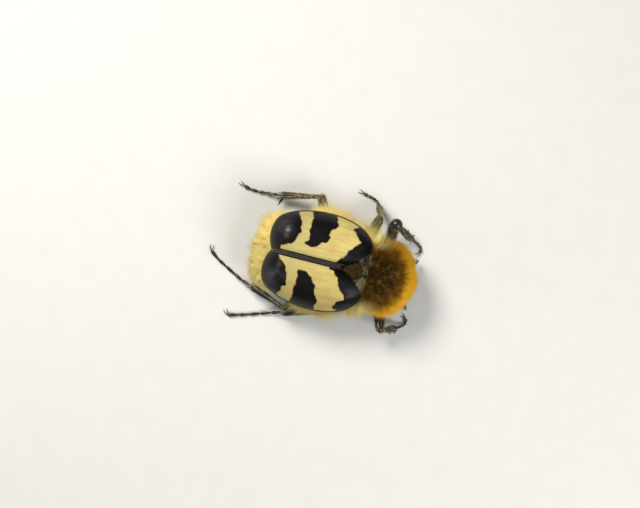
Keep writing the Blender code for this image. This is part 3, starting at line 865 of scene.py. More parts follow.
def headPlace(u, v):
    p = headShape
    last = p["sections"][-1][0]
    down, fromEnd, (half, deep, shift) = alongSections(p["sections"], v)
    closing = np.sqrt(np.clip(fromEnd / p["endRound"], 0, 1))
    closing = np.sqrt(np.clip(1 - (1 - closing) ** 2, 0, 1))
    aside, up = (side * half * closing for side, half in zip(roundedSquare(u, p["square"]), (half, deep)))
    rimHigh, rimIn, rimReach = p["rim"]
    keelHigh, keelOut, keelReach = p["sideKeel"]
    browDeep, browDown, browReach = p["browLine"]
    hollowDeep, hollowHalf, hollowDown, hollowReach = p["hollow"]
    up = up + ease(np.sin(2 * math.pi * u), 0.0, 0.5) * (
        rimHigh * hump(down, last - rimIn, rimReach)
        + keelHigh * hump(np.abs(aside), keelOut, keelReach) * ease(down, 0.9, 1.2)
        - browDeep * hump(down, browDown + 0.15 * np.cos(aside * 3), browReach)
        - hollowDeep * hump(aside, 0, hollowHalf) * hump(down, hollowDown, hollowReach)
    )
    wide, back = p["notch"]
    down = down - back * hump(aside, 0, wide * 0.75) * ease(down, last - 0.5, last)
    return headPoint(down, aside, up + shift)


def makeEye(side, name):
    # a ball on the head's side, each of its facets a little dome
    p = eyeShape
    golden = math.pi * (3 - math.sqrt(5))
    order = np.arange(p["facets"])
    height = 1 - 2 * (order + 0.5) / p["facets"]
    ring = np.sqrt(1 - height**2)
    middles = np.stack([ring * np.cos(golden * order), height, ring * np.sin(golden * order)], 1)
    tree = treeOf(middles)
    facetRadius = math.sqrt(4 * math.pi / p["facets"]) / p["sideToRadius"]
    smooth = ballPlace((0, 0, 0), p["half"])

    def place(u, v):
        flat = smooth(u, v)
        around = unit(flat / np.array(p["half"]))
        far = np.array([tree.find(point)[2] for point in around]) / facetRadius
        dome = 1 - p["facetDeep"] * far**2 / np.array(p["half"]).mean()
        centre = headPoint(p["down"], side * p["aside"], p["up"])
        return flat * dome[:, None] + centre

    return shapedGrid(name, p["grid"], place)


def eyeFinish():
    material, shader, at = newFinish("eyeLens", Coat_Weight=0.8, Coat_Roughness=0.08, Roughness=0.18)
    feed(shader, Base_Color=at.noise(5, 2).mix((14, 9, 7), (52, 30, 16)))
    return material


feeler = {
    "scape": ((1.16, 0.70, 0.00), (1.20, 0.92, 0.03), (1.25, 1.12, 0.05)),
    "scapeHalf": (0.07, 0.10, 0.14),
    "stalk": ((1.27, 1.14, 0.06), (1.27, 1.34, 0.09), (1.24, 1.56, 0.15)),
    "beads": 6,
    "beadHalf": 0.085,
    "beadGirths": (0.55, 1.0, 0.8),
    "clubFrom": (1.22, 1.56, 0.16),
    "clubTo": (1.70, 1.86, -0.02),
    "leaves": 3,
    "leafHalf": 0.15,
    "leafThick": 0.044,
    "leafGap": 1.7,  # from leaf to leaf, in half thicknesses
    "leafSpread": 8,
    "leafShares": (0, 0.12, 0.5, 0.85, 1.0),
    "leafWidths": (0.3, 0.62, 1.0, 0.92, 0.55),
    "leafGirths": (0.8, 1.0, 1.0, 0.9, 0.7),
}


def oneLimb(name, points, wide, deep, facing=(0, 0, 1), grid=(20, 24), power=2.2):
    return shapedGrid(name, grid, limbPlace(points, wide, deep, facing, power))


def makeFeeler(side, name):
    p = feeler

    def at(place):
        down, aside, up = place
        return headPoint(down, side * aside, up)

    parts = [oneLimb("scape", [at(q) for q in p["scape"]], p["scapeHalf"], p["scapeHalf"])]
    stalk = np.array([at(q) for q in p["stalk"]])
    ends = through(stalk, [0, 0.5, 1], np.linspace(0, 1, p["beads"] + 1))
    half = p["beadHalf"] * np.array(p["beadGirths"])
    for low, high in zip(ends, ends[1:]):
        parts.append(oneLimb("bead", [low, (low + high) / 2, high], half, half, grid=(16, 12)))
    root, tip = at(p["clubFrom"]), at(p["clubTo"])
    along = tip - root
    across = unit(np.cross(along, (0, side, 1)))
    hinge = np.cross(along, across)
    wide, thick = np.array(p["leafWidths"]) * p["leafHalf"], np.array(p["leafGirths"]) * p["leafThick"]
    for i in range(p["leaves"]):
        way = i - (p["leaves"] - 1) / 2
        leaf = turning(way * p["leafSpread"], Vector(hinge)) @ along
        start = root + across * way * p["leafThick"] * p["leafGap"]
        path = [start + leaf * share for share in p["leafShares"]]
        parts.append(oneLimb("leaf", path, thick, wide, hinge, (24, 28), 2.6))
    return joined(name, parts)


mouth = {
    "palpFrom": (1.30, 0.34, -0.20),
    "palpTo": (1.98, 0.60, -0.14),
    "palpLinks": (0.16, 0.42, 0.60, 1.0),
    "palpHalf": 0.060,
    "palpGirths": (0.6, 1.0, 0.75),
    "jaw": ((1.35, 0.30, -0.10), (1.62, 0.36, -0.10), (1.80, 0.22, -0.08)),
    "jawHalf": ((0.16, 0.13, 0.04), (0.10, 0.08, 0.03)),
}


def makeMouth():
    p = mouth
    parts = []
    half = np.array(p["palpGirths"]) * p["palpHalf"]
    for side in (1, -1):
        start, end = (headPoint(d, side * a, up) for d, a, up in (p["palpFrom"], p["palpTo"]))
        shares = (0,) + p["palpLinks"]
        for low, high in zip(shares, shares[1:]):
            path = [start + (end - start) * s for s in (low, (low + high) / 2, high)]
            parts.append(oneLimb("palpLink", path, half, half, grid=(14, 14)))
        jaw = [headPoint(d, side * a, up) for d, a, up in p["jaw"]]
        parts.append(oneLimb("jaw", jaw, *p["jawHalf"]))
    return joined("mouth_parts", parts)


onBeetle(shapedGrid("head_shell", headShape["grid"], headPlace), blackShell, "head", "head")
eyeMaterial = eyeFinish()
feelerShell = shellFinish("feelerShell", (34, 18, 11), sheen=0.15, pits=16, rough=0.4, tint=(66, 36, 18))
for side, word in ((1, "left"), (-1, "right")):
    onBeetle(makeEye(side, "compound_eye_" + word), eyeMaterial, "eyes", "eye_" + word)
    onBeetle(makeFeeler(side, "feeler_" + word), feelerShell, "feelers", "antenna_" + word)
onBeetle(makeMouth(), feelerShell, "head")
print("head made")


# Legs

# The joints of each leg, as the solids have them. A tooth is a share of the shin's length and a tip.
legs = {
    "front_left": {
        "root": (5.05, 0.95, 1.02),
        "knee": (5.08, 4.04, 2.05),
        "ankle": (6.52, 3.22, 0.85),
        "foot": ((7.02, 3.05, 0.40), (7.42, 2.82, 0.22), (7.46, 2.42, 0.20)),
        "claws": (7.14, 2.08, 0.14),
        "teeth": ((0.96, (6.72, 3.60, 0.76)), (0.68, (6.24, 3.84, 1.14))),
    },
    "front_right": {
        "root": (5.15, -0.95, 1.02),
        "knee": (5.92, -3.78, 2.10),
        "ankle": (7.02, -3.36, 0.85),
        "foot": ((7.45, -3.12, 0.40), (7.72, -2.88, 0.22), (7.62, -2.52, 0.20)),
        "claws": (7.24, -2.30, 0.14),
        "teeth": ((0.96, (7.10, -3.80, 0.76)), (0.66, (6.74, -3.92, 1.16))),
    },
    "middle_left": {
        "root": (3.15, 1.10, 0.88),
        "knee": (3.94, 4.14, 2.00),
        "ankle": (3.72, 4.92, 0.62),
        "foot": ((3.42, 5.32, 0.26), (3.05, 5.48, 0.21), (2.72, 5.54, 0.20), (2.40, 5.60, 0.20)),
        "claws": (2.00, 5.74, 0.14),
        "teeth": (),
    },
    "middle_right": {
        "root": (3.15, -1.10, 0.88),
        "knee": (1.30, -3.62, 1.70),
        "ankle": (-1.25, -4.28, 0.62),
        "foot": ((-2.05, -4.54, 0.34), (-3.00, -4.86, 0.21), (-4.00, -5.20, 0.20), (-5.12, -5.50, 0.20)),
        "claws": (-5.48, -4.98, 0.14),
        "teeth": (),
    },
    "hind_left": {
        "root": (0.75, 1.25, 0.88),
        "knee": (-0.52, 4.56, 1.95),
        "ankle": (-3.46, 3.96, 0.80),
        "foot": ((-4.35, 3.90, 0.40), (-5.10, 3.84, 0.21), (-5.75, 3.86, 0.20), (-6.30, 4.00, 0.20)),
        "claws": (-6.85, 4.30, 0.14),
        "teeth": ((0.92, (-3.52, 3.16, 0.62)),),
    },
    "hind_right": {
        "root": (0.75, -1.25, 0.88),
        "knee": (-1.08, -3.98, 1.90),
        "ankle": (-3.88, -3.00, 0.80),
        "foot": ((-4.85, -2.70, 0.40), (-5.75, -2.24, 0.21), (-6.66, -1.78, 0.20), (-7.42, -1.22, 0.20)),
        "claws": (-7.50, -0.62, 0.14),
        "teeth": ((0.92, (-3.86, -2.40, 0.62)),),
    },
}
legShape = {
    # share of the way along, half width and half depth there
    "thigh": (
        (-0.03, 0.20, 0.20), (0.12, 0.30, 0.27), (0.45, 0.40, 0.32), (0.78, 0.36, 0.30),
        (0.94, 0.31, 0.28), (1.05, 0.21, 0.20),
    ),
    "thighBall": (
        (-0.03, 0.20, 0.20), (0.12, 0.30, 0.27), (0.45, 0.36, 0.32), (0.72, 0.38, 0.35),
        (0.90, 0.43, 0.40), (1.03, 0.40, 0.38),
    ),
    "shinFront": (
        (-0.02, 0.20, 0.17), (0.18, 0.16, 0.14), (0.50, 0.23, 0.14), (0.85, 0.27, 0.14),
        (1.02, 0.22, 0.12),
    ),
    "shinBack": (
        (-0.01, 0.18, 0.17), (0.12, 0.15, 0.14), (0.45, 0.20, 0.17), (0.82, 0.26, 0.19),
        (1.01, 0.28, 0.20),
    ),
    # a swollen knee's middle and half sizes
    "balls": {"front_left": ((5.19, 3.94, 2.04), (0.45, 0.45, 0.42))},
    "hip": (0.36, 0.40),
    "hipLifts": (0.75, 0.3, -0.12),  # its path above and below the leg's root
    "toothHalf": 0.085,
    "toothWide": (1.3, 1, 0.15),
    "toothDeep": (1, 0.8, 0.15),
    "toothArch": 0.05,
    "spurLong": 0.42,
    "spurHalf": 0.040,
    "spurGirths": (1, 0.8, 0.2),
    "spurSplay": 0.35,
    "spurAside": 0.12,
    "spurLowest": 0.05,
    "footLinks": 5,
    "footHalf": 0.125,
    "footLower": 0.08,
    "linkShares": (-0.06, 0.12, 0.70, 0.97),
    "linkGirths": (0.45, 0.62, 1.0, 0.80),  # at those shares
    "clawLong": 0.50,
    "clawHalf": 0.055,
    "clawGirths": (1.0, 0.8, 0.18),
    "clawSpread": 26,
    "limbGrid": (36, 70),
    "ballGrid": (48, 36),
    "linkGrid": (24, 26),
}
legSurfaces = []


def stationed(low, high, stations):
    shares, wide, deep = np.array(stations).T
    return [low + (high - low) * share for share in shares], wide, deep


def makeLeg(name, joints):
    p = legShape
    root, knee, ankle = (np.array(joints[key], float) for key in ("root", "knee", "ankle"))
    thigh = stationed(root, knee, p["thighBall" if name in p["balls"] else "thigh"])
    shin = stationed(knee, ankle, p["shinFront" if name.startswith("front") else "shinBack"])
    parts = []
    for word, limb in (("thigh", thigh), ("shin", shin)):
        place = limbPlace(*limb)
        legSurfaces.append((name, word, place))
        parts.append(shapedGrid(word, p["limbGrid"], place))
    if name in p["balls"]:
        parts.append(shapedGrid("knee", p["ballGrid"], ballPlace(*p["balls"][name])))
    half, high = p["hip"]
    hip = [root + (0, 0, lift) for lift in p["hipLifts"]]
    parts.append(oneLimb("hip", hip, (half, half * 1.05, half * 0.7), (high, high, half * 0.6), (1, 0, 0)))
    for share, end in joints["teeth"]:
        start, end = knee + (ankle - knee) * share, np.array(end, float)
        path = [start, (start + end) / 2 + (0, 0, p["toothArch"]), end]
        wide, deep = (np.array(p[key]) * p["toothHalf"] for key in ("toothWide", "toothDeep"))
        parts.append(oneLimb("tooth", path, wide, deep))
    along = unit(ankle - knee)
    half = np.array(p["spurGirths"]) * p["spurHalf"]
    for way in (1, -1):
        aside = unit(np.cross(along, (0, 0, 1))) * way
        start = ankle + aside * p["spurAside"] - along * 0.05
        tip = start + unit(along + aside * p["spurSplay"] + (0, 0, -0.10)) * p["spurLong"]
        tip[2] = max(tip[2], p["spurLowest"])
        parts.append(oneLimb("spur", [start, (start + tip) / 2, tip], half, half, grid=(10, 14)))
    return joined("leg_" + name, parts)


def makeFoot(name, joints):
    p = legShape
    # the foot's route from the ankle, lower than the solid's as the real one is thinner
    route = np.array([joints["ankle"]] + list(joints["foot"]), float)
    route[1:, 2] = np.maximum(route[1:, 2] - p["footLower"], p["footHalf"] + 0.005)
    ends = through(route, sharesAlong(route)[0], np.linspace(0.03, 1, p["footLinks"] + 1))
    parts = []
    for i, (low, high) in enumerate(zip(ends, ends[1:])):
        size = p["footHalf"] * (1.05 if i == p["footLinks"] - 1 else 1 - 0.04 * i)
        path = [low + (high - low) * share for share in p["linkShares"]]
        half = np.array(p["linkGirths"]) * size
        place = limbPlace(path, half, half * 0.92)
        legSurfaces.append((name, "foot", place))
        parts.append(shapedGrid("link", p["linkGrid"], place))
    last, long = ends[-1], p["clawLong"]
    ahead = unit(np.array(joints["claws"], float) - route[-1])
    ahead = unit(ahead * (1, 1, 0))
    half = np.array(p["clawGirths"]) * p["clawHalf"]
    for way in (1, -1):
        out = turning(way * p["clawSpread"], "Z") @ ahead
        inward = turning(-way * p["clawSpread"] * 0.4, "Z") @ ahead
        path = [last, last + out * long * 0.45 + (0, 0, 0.05), last + out * long * 0.7 + inward * long * 0.3]
        path[2][2] = 0.03
        parts.append(oneLimb("claw", path, half * 0.7, half, grid=(14, 24)))
    return joined("foot_" + name, parts)


for name, joints in legs.items():
    stem = "leg_" + name
    onBeetle(makeLeg(name, joints), legShell, "legs", stem + "_femur", stem + "_tibia")
    onBeetle(makeFoot(name, joints), footShell, "feet", stem + "_tarsus")
print("legs made")


# Coat: each hair a bent, pointed solid with three sides

hairShape = {
    "stations": (0.0, 0.5),  # share of the length at each ring of three points, before the tip
    "girths": (1.0, 0.72),
    "points": 7,
    "faces": ((0, 1, 4, 3), (1, 2, 5, 4), (2, 0, 3, 5), (3, 4, 6), (4, 5, 6), (5, 3, 6), (2, 1, 0)),
    "along": (0, 0, 0, 0.5, 0.5, 0.5, 1),
    "spots": ((0, 0), (0.5, 0), (1, 0), (0, 0.5), (0.5, 0.5), (1, 0.5), (0.5, 1)),
    "patch": 0.003,  # how much of the unwrap one hair takes
    "mostInOne": 19000,  # hairs in one piece
    "sunk": 0.03,  # how far the roots are set into the shell
    "lowest": 0.03,  # the tips stay this far above the floor
    "guardShare": 0.08,
    "guardLonger": 1.24,
    "raggedUnder": 0.35,  # how far below a ceiling the tips may end
}


def hairPiece(name, roots, ways, bends, long, thick, unwrap, tone):
    # arrays of roots, ways out, sideways bends of the tips, lengths and half thicknesses
    p = hairShape
    count = len(roots)
    helper = np.where(np.abs(ways[:, 2:3]) < 0.9, np.array([[0, 0, 1.0]]), np.array([[1.0, 0, 0]]))
    aside = unit(np.cross(ways, helper))
    up = np.cross(ways, aside)
    rings = []
    for share, girth in zip(p["stations"], p["girths"]):
        middle = roots + ways * (long * share)[:, None] + bends * (long * share**2)[:, None]
        for i in range(3):
            turn = 2 * math.pi / 3 * i
            spoke = aside * math.cos(turn) + up * math.sin(turn)
            rings.append(middle + spoke * (thick * girth)[:, None])
    rings.append(roots + ways * long[:, None] + bends * long[:, None])
    points = np.stack(rings, 1)
    pattern = np.array([i for face in p["faces"] for i in face])
    starts = np.cumsum([0] + [len(face) for face in p["faces"]])
    corners = np.arange(count)[:, None] * p["points"] + pattern
    cornerStarts = np.arange(count)[:, None] * starts[-1] + starts[:-1]
    mesh = bpy.data.meshes.new(name)
    mesh.vertices.add(count * p["points"])
    mesh.vertices.foreach_set("co", (points * mm).astype(np.float32).ravel())
    mesh.loops.add(corners.size)
    mesh.loops.foreach_set("vertex_index", corners.astype(np.int32).ravel())
    mesh.polygons.add(cornerStarts.size)
    mesh.polygons.foreach_set("loop_start", cornerStarts.astype(np.int32).ravel())
    mesh.polygons.foreach_set("use_smooth", np.ones(cornerStarts.size, bool))
    mesh.update(calc_edges=True)
    made = bpy.data.objects.new(name, mesh)
    bpy.context.scene.collection.objects.link(made)
    store(made, "along", np.tile(p["along"], count))
    store(made, "tone", np.repeat(tone, p["points"]))
    spots = np.array(p["spots"]) * p["patch"]
    uv = unwrap[:, None, :] * (1 - p["patch"]) + spots[pattern][None]
    mesh.uv_layers.new(name="OFBake").data.foreach_set("uv", uv.astype(np.float32).ravel())
    return made


def spread(place, count, seed, where):
    # hair roots spread evenly over a surface where the coat grows, with the surface's ways outwards
    chance = np.random.default_rng(seed)
    step = 0.002
    found, total, most = [], 0, None
    while total < count:
        u, v = chance.random(6 * count), chance.random(6 * count) * (1 - 2 * step) + step
        point = place(u, v)
        normal = np.cross(place(u + step, v) - place(u - step, v), place(u, v + step) - place(u, v - step))
        area = np.linalg.norm(normal, axis=1)
        normal = unit(normal)
        if np.mean(np.sum(normal * (point - point.mean(0)), axis=1)) < 0:
            normal = -normal
        weight = area * where(point, normal)
        most = most or np.percentile(weight, 99.5)
        kept = chance.random(len(weight)) * most < weight
        found.append([a[kept] for a in (point, normal, np.stack([u, v], 1))])
        total += kept.sum()
    return [np.concatenate(parts)[:count] for parts in zip(*found)]


def flatten(ways, normals):
    return ways - normals * np.sum(ways * normals, axis=1, keepdims=True)


def everywhere(value, points):
    return value(points) if callable(value) else np.full(len(points), value)


def locksOf(points, count, chance):
    # shares the hairs out among locks: the lock of each hair, and the hair that leads each lock
    guides = chance.choice(len(points), min(count, len(points)), replace=False)
    tree = treeOf(points[guides])
    return np.array([tree.find(point)[1] for point in points]), guides


usualCoat = {
    "varies": (0.5, 1.1),  # each hair's length, as a share of what its place gives
    "bend": 0.15,
    "droop": 0.0,
    "half": 0.010,
    "clump": 0.6,
    "swirl": 1.0,
    "stray": 0.15,
    "uneven": 0.20,  # how much the locks differ in length
    "lockTone": 0.5,  # how much of its tone a hair shares with its lock
    "slot": "body_coat",
}


def coat(name, growth, material):
    # grows one area's hairs, split into pieces of a size that the export keeps whole
    h, s = hairShape, {**usualCoat, **growth}
    points, normals, unwrap = spread(s["on"], s["count"], s["seed"], s["where"])
    count = len(points)
    chance = np.random.default_rng(s["seed"] + 1000)
    lie = unit(flatten(s["flow"](points), normals))
    third = np.cross(normals, lie)
    rise = everywhere(s["rise"], points)[:, None]
    broad, fine = waves(points, s["clump"], s["seed"] + 1), waves(points, s["clump"] * 0.4, s["seed"] + 2)
    swirl = (broad * 0.30 + fine * 0.20) * s["swirl"]
    stray = chance.normal(0, s["stray"], (count, 3))
    ways = unit(lie * np.cos(rise) + normals * np.sin(rise) + third * swirl[:, None] + stray)
    bends = lie * s["bend"] + np.array((0, 0, -s["droop"])) + chance.normal(0, 0.05, (count, 3))
    lock, guides = locksOf(points, s["locks"], chance)
    long = everywhere(s["long"], points)
    long = long * chance.uniform(1 - s["uneven"], 1 + s["uneven"] / 2, len(guides))[lock]
    long = long * chance.uniform(*s["varies"], count)
    long = np.where(chance.random(count) < h["guardShare"], long * h["guardLonger"], long)
    thick = s["half"] * chance.uniform(0.75, 1.2, count)
    tone = (1 - s["lockTone"]) * chance.random(count) + s["lockTone"] * chance.random(len(guides))[lock]
    roots = points - normals * h["sunk"]
    tips = roots + (ways + bends) * long[:, None]
    gather = s["gather"] * chance.uniform(0.5, 1, count)
    bends = bends + (tips[guides][lock] - tips) / long[:, None] * gather[:, None]
    height = (roots + (ways + bends) * long[:, None])[:, 2]
    highest = np.inf
    if "ceiling" in s:
        highest = s["ceiling"](points) - h["raggedUnder"] * chance.random(count) ** 2
    ways[:, 2] += (np.clip(height, h["lowest"], highest) - height) / long
    pieces = math.ceil(count / h["mostInOne"])
    order = chance.permutation(count)
    for i in range(pieces):
        pick = order[i::pieces]
        title = name if pieces == 1 else name + "_" + str(i + 1)
        made = hairPiece(title, *(part[pick] for part in (roots, ways, bends, long, thick, unwrap, tone)))
        onBeetle(made, material, s["slot"])
    print("coat grown:", name, count, "hairs")


def hairFinish(name, colour):
    # colour is worked out from the place, the share along the hair and the hair's own tone
    material, shader, at = newFinish(name, Roughness=0.55, Specular_IOR_Level=0.12)
    feed(shader, Base_Color=colour(at, at.read("along"), at.read("tone")))
    return material


def twoTone(low, high, first, second):
    # hairs of two colours, shared out by their tone
    return lambda at, along, tone: tone.ease(low, high).mix(first, second)


def shieldHairColour(at, along, tone):
    p = shieldTones
    out = shieldShade(at, (tone - 0.5) * 0.22)
    # dark in the middle, partly painted shade, and gold at the rim, partly painted light through the hairs
    inner = out.ease(0.40, 0.82).mix(p["dark"], p["brown"])
    gold = tone.ease(0.2, 0.8).mix(p["tan"], p["gold"])
    # painted shade: each hair darker brown towards its root, where the coat shadows it
    gold = ((1 - along.ease(0.0, 0.5)) * 0.42).mix(gold, p["brown"])
    gold = (along.ease(0.6, 1.0) * 0.5).mix(gold, p["pale"])
    gold = ((1 - at.part("Z").ease(1.7, 3.1)) * 0.5).mix(gold, p["low"])
    outer = out.ease(0.74, 1.02).mix(inner, gold)
    glint = (tone.ease(0.78, 0.86) * along.ease(0.3, 1.0) * 0.6).mix(outer, p["pale"])
    rear = 1 - at.part("X").ease(3.75, 4.15)
    dull = (rear * 0.8).mix(glint, tone.ease(0.3, 0.7).mix(p["rearDark"], p["rearPale"]))
    flank = at.part("Y").size().ease(1.7, 2.3) * (1 - at.part("X").ease(4.3, 5.6))
    return (flank * 0.7).mix(dull, p["flank"])


paleTones = {
    "cream": (252, 222, 118),
    "white": (255, 246, 176),
    # painted shade: the darker colour near the roots, where the coat shadows itself
    "root": (196, 150, 64),
    "streak": (84, 62, 30),  # a few dark hairs at the middle of the tail
}


def paleHairColour(at, along, tone):
    p = paleTones
    base = tone.ease(0.15, 0.85).mix(p["cream"], p["white"])
    # painted shade: each hair darker towards its root
    base = ((1 - along.ease(0.0, 0.50)) * 0.75).mix(base, p["root"])
    x, y = at.part("X"), at.part("Y")
    streak = (1 - (y - 0.1).size().ease(0.04, 0.16)) * (1 - x.ease(-3.7, -3.4)) * tone.ease(0.55, 0.60)
    return (streak * 0.6).mix(base, p["streak"])


# Coat of the shield

def outOfShield(p):
    return np.hypot((p[:, 0] - 5.1) / 1.9, p[:, 1] / 2.2)


def downHead(p):
    # how far a point lies along the head's own line, from its root
    return (p - headAt["root"]) @ headAt["axis"]


def onShield(p):
    return (p[:, 0] > shieldShell["rear"]) * (downHead(p) < -0.02)


shieldCoat = {
    "on": shieldPlace,
    "where": lambda p, n: ease(p[:, 2], 1.9, 2.5) * onShield(p),
    "flow": lambda p: p - np.array(shieldShell["at"]) - np.array(shieldShell["crown"]) * 1.2 + (0, 0, 0.1),
    "count": 50000,
    "seed": 11,
    "long": lambda p: 0.60 + 0.32 * ease(outOfShield(p), 0.5, 1.0) * (1 - 0.5 * ease(p[:, 0], 6.1, 6.9)),
    "varies": (0.50, 1.15),
    "rise": lambda p: 1.05 - 0.45 * ease(outOfShield(p), 0.3, 1.0),
    "bend": 0.22,
    "half": 0.009,
    "clump": 0.9,
    "swirl": 0.5,
    "stray": 0.14,
    "locks": 3600,
    "gather": 0.42,
    "uneven": 0.12,
    "lockTone": 0.62,
    "slot": "shield_coat",
}
coat("coat_shield", shieldCoat, hairFinish("shieldHair", shieldHairColour))


# Coat of the trunk and throat

paleHair = hairFinish("paleHair", paleHairColour)
greyHair = hairFinish("greyHair", twoTone(0.46, 0.60, (44, 35, 20), (214, 202, 158)))

tailCoat = {
    "on": trunkPlace,
    "where": lambda p, n: (1 - ease(p[:, 0], -2.3, -1.6)) * ease(p[:, 2], 1.5, 1.8),
    "flow": lambda p: streams(-1.0, p[:, 1] * 0.55, (p[:, 2] - 2.2) * 0.15),
    "count": 34000,
    "seed": 21,
    "long": lambda p: (1.10 - 0.18 * ease(p[:, 0], -3.6, -3.0) + 0.14 * (p[:, 1] < -1)) * (
        0.46 + 0.54 * ease(p[:, 2], 1.6, 2.4)
    ),
    "varies": (0.45, 1.10),
    "rise": lambda p: 0.45 + 0.40 * ease(p[:, 0], -3.7, -3.1) * ease(p[:, 2], 2.0, 2.5),
    "bend": 0.12,
    "droop": 0.20,
    "half": 0.011,
    "clump": 0.7,
    "swirl": 0.35,
    "stray": 0.10,
    "locks": 1150,
    "gather": 0.54,
    "uneven": 0.26,
    "lockTone": 0.55,
    "ceiling": lambda p: 3.12 + 6 * (1 - ease(p[:, 0], -3.6, -3.4)),  # the tips stay under the wing case
}
coat("coat_tail", tailCoat, paleHair)

sideCoat = {
    "on": trunkPlace,
    "where": lambda p, n: (
        ease(np.abs(n[:, 1]), 0.3, 0.6)
        * window(p[:, 0], -3.1, -2.5, 3.2, 3.8)
        * window(p[:, 2], 1.6, 1.9, 2.6, 2.9)
    ),
    "flow": lambda p: streams(-0.35, np.sign(p[:, 1]), 0.0),
    "count": 21000,
    "seed": 31,
    "long": lambda p: 0.84 + 1.20 * ease(p[:, 0], -1.0, 0.8),
    "varies": (0.45, 1.10),
    "rise": 0.66,
    "bend": 0.12,
    "droop": 0.06,
    "half": 0.011,
    "swirl": 0.6,
    "stray": 0.16,
    "locks": 900,
    "gather": 0.60,
    "uneven": 0.26,
    "lockTone": 0.60,
    "ceiling": lambda p: 2.72 + 6 * ease(p[:, 0], 3.7, 4.1),
}
coat("coat_sides", sideCoat, paleHair)

shoulderCoat = {
    "on": trunkPlace,
    "where": lambda p, n: (
        window(p[:, 0], 2.9, 3.3, 4.1, 4.25) * ease(np.abs(p[:, 1]), 0.9, 1.2) * ease(p[:, 2], 2.1, 2.5)
    ),
    "flow": lambda p: streams(0.42 + 0.7 * (p[:, 0] - 3.5), np.sign(p[:, 1]), 0.12),
    "count": 7000,
    "seed": 41,
    "long": lambda p: np.where(p[:, 1] > 0, 2.05, 1.75),
    "varies": (0.50, 1.08),
    "rise": 0.95,
    "bend": 0.14,
    "droop": 0.05,
    "half": 0.0105,
    "clump": 0.5,
    "stray": 0.13,
    "locks": 260,
    "gather": 0.66,
    "uneven": 0.26,
    "lockTone": 0.7,
    "ceiling": lambda p: 2.64 + 6 * ease(p[:, 0], 3.75, 4.05),
}
coat("coat_shoulders", shoulderCoat, paleHair)

neckCoat = {
    "on": trunkPlace,
    "where": lambda p, n: (
        window(p[:, 0], 3.1, 3.35, 4.1, 4.2) * (1 - ease(np.abs(p[:, 1]), 1.2, 1.5)) * ease(n[:, 2], 0.2, 0.6)
    ),
    "flow": lambda p: streams(-0.2, p[:, 1] * 0.4, 0.2),
    "count": 2200,
    "seed": 61,
    "long": 0.70,
    "rise": 0.9,
    "bend": 0.10,
    "clump": 0.5,
    "stray": 0.18,
    "locks": 420,
    "gather": 0.35,
}
coat("coat_neck", neckCoat, greyHair)

bellyCoat = {
    "on": trunkPlace,
    "where": lambda p, n: ease(-n[:, 2], 0.3, 0.7),
    "flow": lambda p: streams(-1.0, p[:, 1] * 0.1, 0.0),
    "count": 5000,
    "seed": 51,
    "long": 0.45,
    "varies": (0.6, 1.1),
    "rise": 0.5,
    "bend": 0.2,
    "locks": 700,
    "gather": 0.40,
}
coat("coat_belly", bellyCoat, paleHair)

throatCoat = {
    "on": shieldPlace,
    "where": lambda p, n: (1 - ease(p[:, 2], 2.1, 2.5)) * onShield(p),
    "flow": lambda p: streams(-1.0, p[:, 1] * 0.6, 0.0),
    "count": 3600,
    "seed": 91,
    "long": 0.42,
    "rise": 0.5,
    "half": 0.008,
    "locks": 420,
    "gather": 0.35,
    "slot": "shield_coat",
}
coat("coat_throat", throatCoat, paleHair)


# Short hair of the face and the scutellum

def awayFromEyes(p):
    eyes = (headPoint(eyeShape["down"], side * eyeShape["aside"], eyeShape["up"]) for side in (1, -1))
    return math.prod(ease(np.linalg.norm(p - eye, axis=1), 0.40, 0.52) for eye in eyes)


headCoat = {
    "on": headPlace,
    "where": lambda p, n: window(downHead(p), -0.1, 0.2, 1.0, 1.45) * awayFromEyes(p),
    "flow": lambda p: np.tile(headAt["axis"], (len(p), 1)),
    "count": 7000,
    "seed": 71,
    "long": 0.20,
    "varies": (0.5, 1.15),
    "rise": 0.42,
    "half": 0.0050,
    "clump": 0.4,
    "stray": 0.16,
    "locks": 900,
    "gather": 0.08,
    "slot": "head",
}
coat("coat_head", headCoat, hairFinish("faceHair", twoTone(0.2, 0.8, (128, 92, 34), (226, 194, 112))))

plateCoat = {
    "on": scutellumPlace,
    "where": lambda p, n: ease(n[:, 2], 0.1, 0.5),
    "flow": lambda p: streams(-1.0, p[:, 1] * 0.3, 0.0),
    "count": 5000,
    "seed": 81,
    "long": 0.20,
    "varies": (0.6, 1.2),
    "rise": 0.34,
    "half": 0.0065,
    "stray": 0.10,
    "locks": 420,
    "gather": 0.10,
    "slot": "scutellum",
}
coat("coat_scutellum", plateCoat, hairFinish("brownHair", twoTone(0.3, 0.9, (40, 30, 6), (104, 84, 34))))


# Bristles of the legs

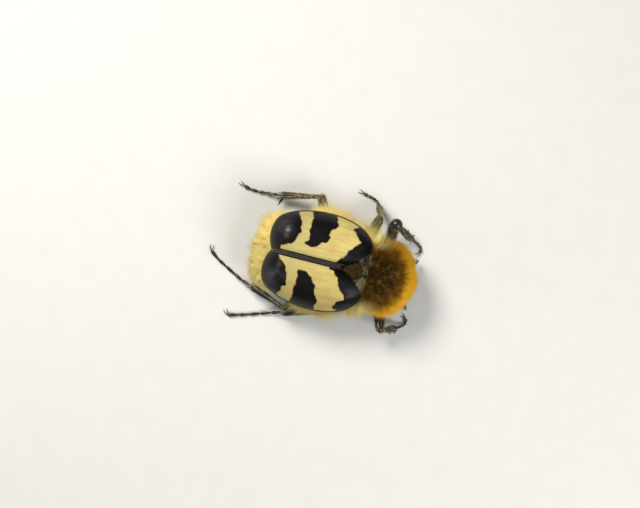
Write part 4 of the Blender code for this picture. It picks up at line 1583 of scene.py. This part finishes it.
legHair = {
    # hairs a millimetre of limb, length, rise, half thickness
    "thigh": (170, 0.30, 0.42, 0.0052),
    "shin": (190, 0.21, 0.34, 0.0062),
    "foot": (90, 0.12, 0.45, 0.0048),
    # more pale hairs on some legs and by the knees: real pale hairs, with extra ones as painted sheen where
    # those legs shine
    "pale": {"middle_left": 1.6, "hind_left": 1.5, "front_left": 1.2, "front_right": 1.1},
    "usualPale": 0.85,
    "shinFading": (1.30, 0.70),  # more pale hairs by the knee than by the ankle
    "leastCount": 20,
    "seed": 200,
    "stray": 0.14,
    "bend": 0.15,
    "sunk": 0.01,
    "lowest": 0.02,
    "baldRound": 1.12,  # how far round a swollen knee nothing grows, in its half sizes
}


def limbHair(number, leg, word, place):
    # the hairs of one thigh, shin or foot link, in the order that hairPiece takes them
    p = legHair
    density, long, rise, half = p[word]
    ends = place(np.array([0.0, 0.0]), np.array([0.02, 0.98]))
    pale = p["pale"].get(leg, p["usualPale"])
    count = max(int(density * np.linalg.norm(ends[1] - ends[0]) * (0.6 + pale)), p["leastCount"])

    def where(points, normals):
        if leg not in legShape["balls"]:
            return 1.0
        middle, halves = legShape["balls"][leg]
        return 1.0 * (np.linalg.norm(points - np.array(middle), axis=1) > p["baldRound"] * halves[0])

    points, normals, unwrap = spread(place, count, p["seed"] + number, where)
    chance = np.random.default_rng(p["seed"] + 100 + number)
    lie = unit(flatten(np.tile(unit(ends[1] - ends[0]), (len(points), 1)), normals))
    stray = chance.normal(0, p["stray"], points.shape)
    ways = unit(lie * math.cos(rise) + normals * math.sin(rise) + stray)
    bends = lie * p["bend"]
    longs = long * chance.uniform(0.5, 1.2, len(points))
    roots = points - normals * p["sunk"]
    height = (roots + (ways + bends) * longs[:, None])[:, 2]
    ways[:, 2] += (np.maximum(height, p["lowest"]) - height) / longs
    thick = half * chance.uniform(0.7, 1.2, len(points))
    byKnee, fading = p["shinFading"] if word == "shin" else (1, 0)
    tone = pale * chance.random(len(points)) * (byKnee - fading * unwrap[:, 1])
    return roots, ways, bends, longs, thick, unwrap, tone


bristle = hairFinish("legHair", twoTone(0.62, 0.70, (30, 22, 17), (246, 226, 164)))
for leg in legs:
    grown = [limbHair(i, *limb) for i, limb in enumerate(legSurfaces) if limb[0] == leg]
    made = hairPiece("coat_leg_" + leg, *(np.concatenate(parts) for parts in zip(*grown)))
    onBeetle(made, bristle, "legs")
print("leg hairs grown")
